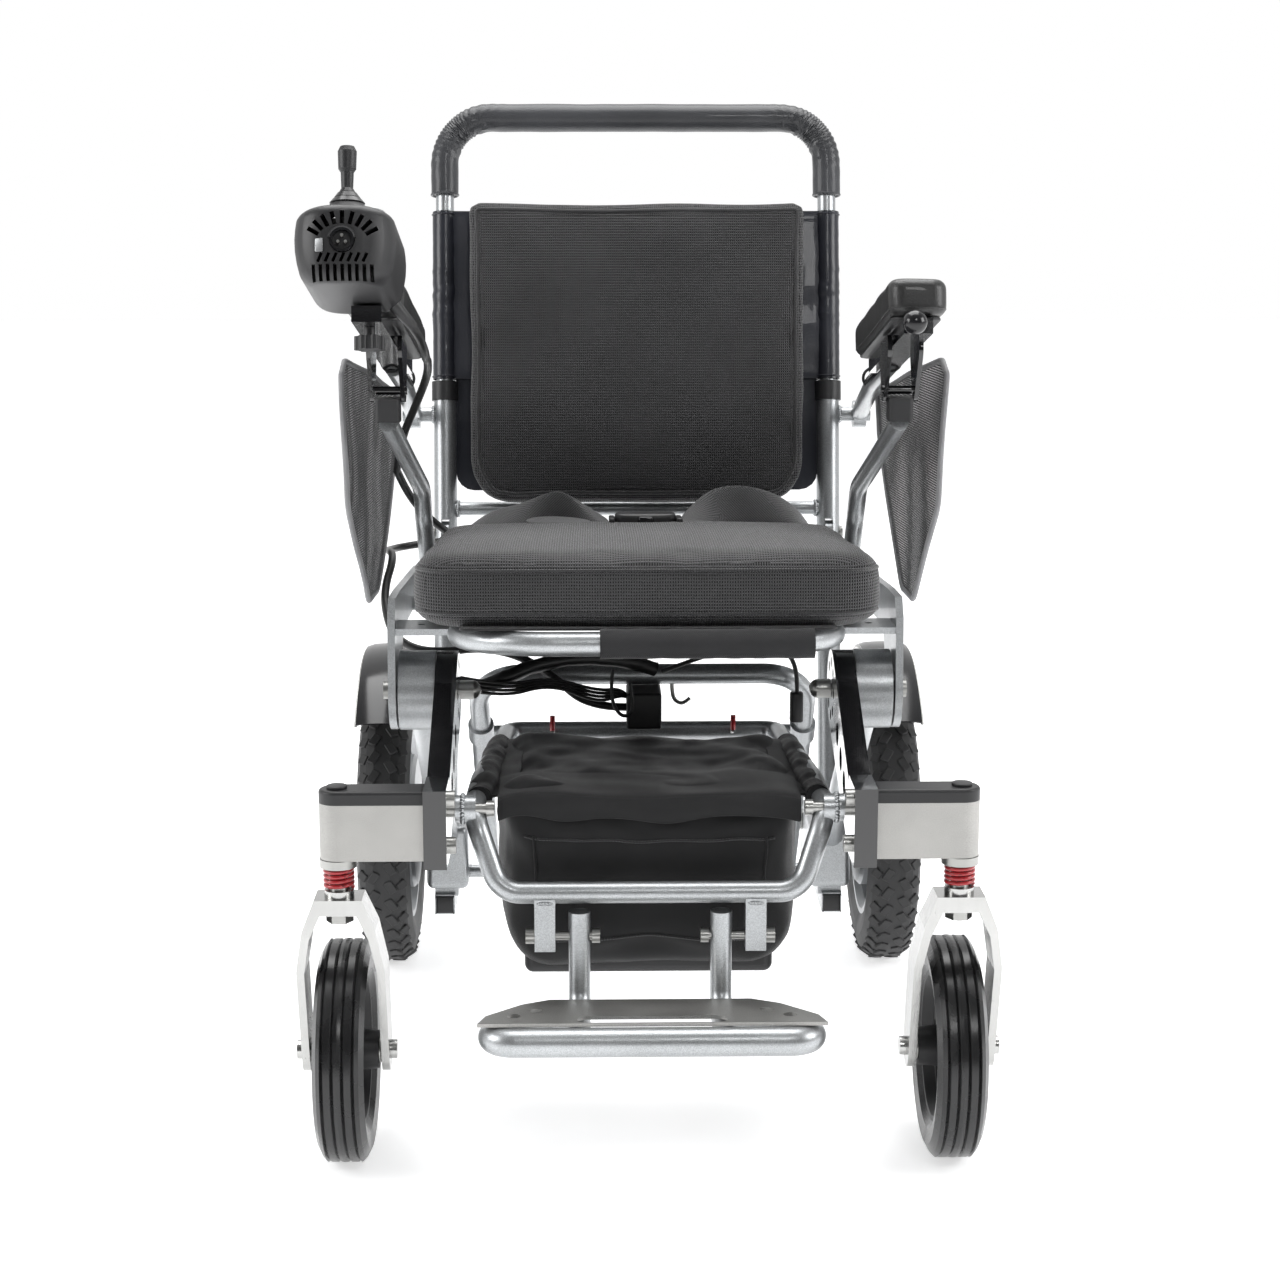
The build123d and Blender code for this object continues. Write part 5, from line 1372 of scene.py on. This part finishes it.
class WHEELCHAIR_OT_fittings(bpy.types.Operator):
    """Weld beads, wiring under the seat, hook, release rods, plugs and rivets"""

    bl_idname = "wheelchair.fittings"
    bl_label = "Fittings"

    def execute(self, context):
        self.welds()
        self.wiring()
        self.plugs()
        return {"FINISHED"}

    def bead(self, name, centre, axis, radius, body, count=22):
        """A stacked-dime weld round a tube."""
        bm = bmesh.new()
        turn = Vector((0, 0, 1)).rotation_difference(Vector(axis)).to_matrix()
        for k in range(count):
            angle = 2 * math.pi * k / count
            at = Vector(centre) + turn @ Vector((radius * math.cos(angle), radius * math.sin(angle), 0))
            drop = bmesh.new()
            bmesh.ops.create_icosphere(drop, subdivisions=2, radius=2.3 * MM)
            bmesh.ops.scale(drop, vec=(1, 1, 0.75), verts=drop.verts)
            bm = together(bm, moved(drop, shift(at)))
        put(name, bm, "silver_paint", body)

    def welds(self):
        across, along, up = (1, 0, 0), (0, 1, 0), (0, 0, 1)
        beads = (
            ("p1", (0.1635, -0.352, 0.331), across, 12.2 * MM, "footrest_hanger"),
            ("stub", (0.225, 0.2807, 0.613), across, 8.4 * MM, "backrest"),
            ("seat", (0.197, 0.2415, 0.4269), across, 11 * MM, "rear_frame"),
            ("back", (0.198, on_post(0, 0.511).y, 0.511), across, 8 * MM, "backrest"),
            ("foot", (0.062, -0.455, 0.158), along, 9.8 * MM, "footrest"),
            ("bracket", (0.092, -0.374, 0.2535), up, 9.5 * MM, "footrest_hanger"),
            ("cross", (0.191, 0.200, 0.112), across, 7.6 * MM, "rear_frame"),
        )
        for name, side in SIDES.items():
            for label, (x, y, z), axis, radius, body in beads:
                self.bead(f"weld_{label}_{name}", (side * x, y, z), axis, radius, body)

    def wiring(self):
        """The wrapped harness along the bow, loose leads, a hook and two red release rods."""
        main = [
            (-0.205, -0.070, 0.398), (-0.178, -0.100, 0.384), (-0.150, -0.105, 0.389),
            (-0.118, -0.098, 0.402), (-0.085, -0.095, 0.412), (-0.05, -0.094, 0.414),
            (-0.012, -0.092, 0.410), (0.012, -0.086, 0.400),
        ]
        piece = strand("harness_main", main, 7.2 * MM, "cable_jacket", None, sides=6)
        wrinkle(piece, 60, 1.6 * MM)
        settle(piece, "cable_jacket", "rear_frame")
        for k in range(4):
            lift = 4 * MM * k
            loose = [
                (-0.195, -0.112, 0.390 + lift), (-0.14, -0.118, 0.378 + lift),
                (-0.09, -0.112, 0.392 + lift / 2), (-0.045, -0.112, 0.372 + lift),
                (-0.02, -0.108, 0.380 + lift / 2), (-0.015, -0.09, 0.372),
            ]
            strand(f"loose_lead_{k}", loose, 1.6 * MM, "cable_jacket", "rear_frame")
        drop = [
            (-0.03, -0.11, 0.405), (-0.034, -0.118, 0.380), (-0.022, -0.12, 0.358),
            (-0.008, -0.118, 0.366), (-0.014, -0.112, 0.392),
        ]
        strand("loose_loop", drop, 1.8 * MM, "cable_jacket", "rear_frame")
        far = [
            (0.018, -0.088, 0.398), (0.060, -0.096, 0.416), (0.100, -0.09, 0.424),
            (0.140, -0.085, 0.42), (0.152, -0.085, 0.395), (0.150, -0.088, 0.372),
        ]
        strand("right_lead", far, 2.2 * MM, "cable_jacket", "rear_frame")
        plug = slab(13 * MM, 11 * MM, 30 * MM, 3 * MM, 2 * MM, 0, 3)
        moved(plug, shift((0.150, -0.088, 0.362)))
        put("lead_plug", plug, "black_plastic", "rear_frame")
        hook = [
            (0.028, -0.066, 0.400), (0.028, -0.066, 0.372), (0.032, -0.07, 0.364),
            (0.040, -0.072, 0.362), (0.046, -0.072, 0.368),
        ]
        strand("bag_hook", hook, 2.0 * MM, "zinc_steel", "rear_frame")
        for k, x in enumerate((-0.09, 0.09)):
            rod = bar((x, -0.052, 0.331), (x, -0.052, 0.346), 2.6 * MM, 12)
            put(f"release_rod_{k}", rod, "red_spring", "footrest_hanger")
            foot = bar((x, -0.052, 0.331), (x, -0.030, 0.324), 2.4 * MM, 12)
            put(f"release_foot_{k}", foot, "zinc_steel", "footrest_hanger")

    def plugs(self):
        """Black inserts in the square tube ends, rivet and screw heads along the seat."""
        for name, side in SIDES.items():
            plug = slab(19 * MM, 3 * MM, 19 * MM, 2 * MM, 0.8 * MM, 0, 2)
            moved(plug, shift((side * 0.215, 0.1800, 0.079)))
            put("bar_plug_" + name, plug, "black_plastic", "rear_frame")
            for k, (y, z) in enumerate(((-0.160, 0.468), (0.060, 0.452), (0.120, 0.450))):
                rivet = bar((side * 0.2395, y, z), (side * 0.2425, y, z), 4.5 * MM, 20)
                put(f"plate_rivet_{k}_{name}", rivet, "zinc_steel", "rear_frame")
            for k, y in enumerate((-0.05, 0.08)):
                z = 0.468 - math.tan(SEAT_TILT) * (y + 0.304) + 11 * MM
                screw = bar((side * 0.172, y, z + 2 * MM), (side * 0.172, y, z + 4.4 * MM), 4.6 * MM, 16)
                put(f"sling_screw_{k}_{name}", screw, "zinc_steel", "rear_frame")


class WHEELCHAIR_OT_studio(bpy.types.Operator):
    """Pale floor, soft lamps and the camera"""

    bl_idname = "wheelchair.studio"
    bl_label = "Studio"

    def execute(self, context):
        settings = context.scene.wheelchair_studio
        bm = bmesh.new()
        bmesh.ops.create_grid(bm, x_segments=2, y_segments=2, size=settings.floor_size / 2)
        mesh = bpy.data.meshes.new("floor")
        bm.to_mesh(mesh)
        bm.free()
        floor = bpy.data.objects.new("floor", mesh)
        context.scene.collection.objects.link(floor)
        floor.data.materials.append(floor_paint())
        world = bpy.data.worlds.new("studio")
        context.scene.world = world
        world.use_nodes = True
        tree = world.node_tree
        seen = tree.nodes["Background"]
        seen.inputs["Color"].default_value = (1, 1, 1, 1)
        glow = tree.nodes.new("ShaderNodeBackground")
        glow.inputs["Color"].default_value = (1, 1, 1, 1)
        ways = tree.nodes.new("ShaderNodeSeparateXYZ")
        tree.links.new(tree.nodes.new("ShaderNodeTexCoord").outputs["Generated"], ways.inputs[0])
        fade = tree.nodes.new("ShaderNodeMapRange")
        fade.inputs["From Min"].default_value = -0.75
        fade.inputs["From Max"].default_value = 0.9
        fade.inputs["To Min"].default_value = settings.glow * 0.10
        fade.inputs["To Max"].default_value = settings.glow
        tree.links.new(ways.outputs["Y"], fade.inputs["Value"])
        tree.links.new(fade.outputs[0], glow.inputs["Strength"])
        rays = tree.nodes.new("ShaderNodeLightPath")
        pick = tree.nodes.new("ShaderNodeMixShader")
        tree.links.new(rays.outputs["Is Camera Ray"], pick.inputs[0])
        tree.links.new(glow.outputs[0], pick.inputs[1])
        tree.links.new(seen.outputs[0], pick.inputs[2])
        tree.links.new(pick.outputs[0], tree.nodes["World Output"].inputs["Surface"])
        self.lamp("overhead", (0, 0.5, 2.8), (0, 0, 0.4), 2.2, settings.key_power)
        self.lamp("left_bank", (-2.6, -0.9, 1.5), (0, -0.1, 0.5), 1.3, settings.key_power * 0.5)
        self.lamp("right_bank", (2.6, -0.9, 1.6), (0, -0.1, 0.5), 1.3, settings.key_power * 0.5)
        self.lamp("front_strip", (0.5, -2.8, 2.2), (0, -0.3, 0.4), 0.5, settings.key_power * 0.16)
        self.camera(settings.lens)
        context.scene.view_settings.view_transform = "Standard"
        return {"FINISHED"}

    def lamp(self, name, place, target, size, power):
        data = bpy.data.lights.new(name, "AREA")
        data.shape = "SQUARE"
        data.size = size
        data.energy = power
        lamp = bpy.data.objects.new(name, data)
        bpy.context.scene.collection.objects.link(lamp)
        lamp.location = place
        lamp.rotation_euler = (Vector(target) - Vector(place)).to_track_quat("-Z", "Y").to_euler()

    def camera(self, lens):
        data = bpy.data.cameras.new("camera")
        data.lens = lens
        data.sensor_width = 36
        data.clip_end = 60
        camera = bpy.data.objects.new("camera", data)
        bpy.context.scene.collection.objects.link(camera)
        camera.location = (-0.048, -0.324 - 2.081, 0.880)
        camera.rotation_euler = (math.radians(79.0), 0, math.radians(-1.1))
        bpy.context.scene.camera = camera


PIECES = (
    WHEELCHAIR_OT_finishes, WHEELCHAIR_OT_studio, WHEELCHAIR_OT_cable, WHEELCHAIR_OT_seat,
    WHEELCHAIR_OT_back, WHEELCHAIR_OT_push_handle, WHEELCHAIR_OT_bag, WHEELCHAIR_OT_armrests,
    WHEELCHAIR_OT_controller, WHEELCHAIR_OT_belt, WHEELCHAIR_OT_wheels, WHEELCHAIR_OT_fittings,
)


class WHEELCHAIR_PT_pieces(bpy.types.Panel):
    """Lists the chair's settings and its pieces"""

    bl_idname = "WHEELCHAIR_PT_pieces"
    bl_label = "Power Wheelchair"
    bl_space_type = "VIEW_3D"
    bl_region_type = "UI"
    bl_category = "Wheelchair"

    def draw(self, context):
        for group in (context.scene.wheelchair_soft, context.scene.wheelchair_studio):
            for name in group.bl_rna.properties.keys():
                if name not in ("rna_type", "name"):
                    self.layout.prop(group, name)
        for piece in PIECES:
            self.layout.operator(piece.bl_idname)


CLASSES = (SoftSizes, StudioSettings, *PIECES, WHEELCHAIR_PT_pieces)


def register():
    for one in CLASSES:
        bpy.utils.register_class(one)
    bpy.types.Scene.wheelchair_soft = bpy.props.PointerProperty(type=SoftSizes)
    bpy.types.Scene.wheelchair_studio = bpy.props.PointerProperty(type=StudioSettings)


def unregister():
    del bpy.types.Scene.wheelchair_studio
    del bpy.types.Scene.wheelchair_soft
    for one in reversed(CLASSES):
        bpy.utils.unregister_class(one)


def main():
    register()
    for piece in PIECES:
        group, name = piece.bl_idname.split(".")
        getattr(getattr(bpy.ops, group), name)()
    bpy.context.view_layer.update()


if __name__ == "__main__":
    main()
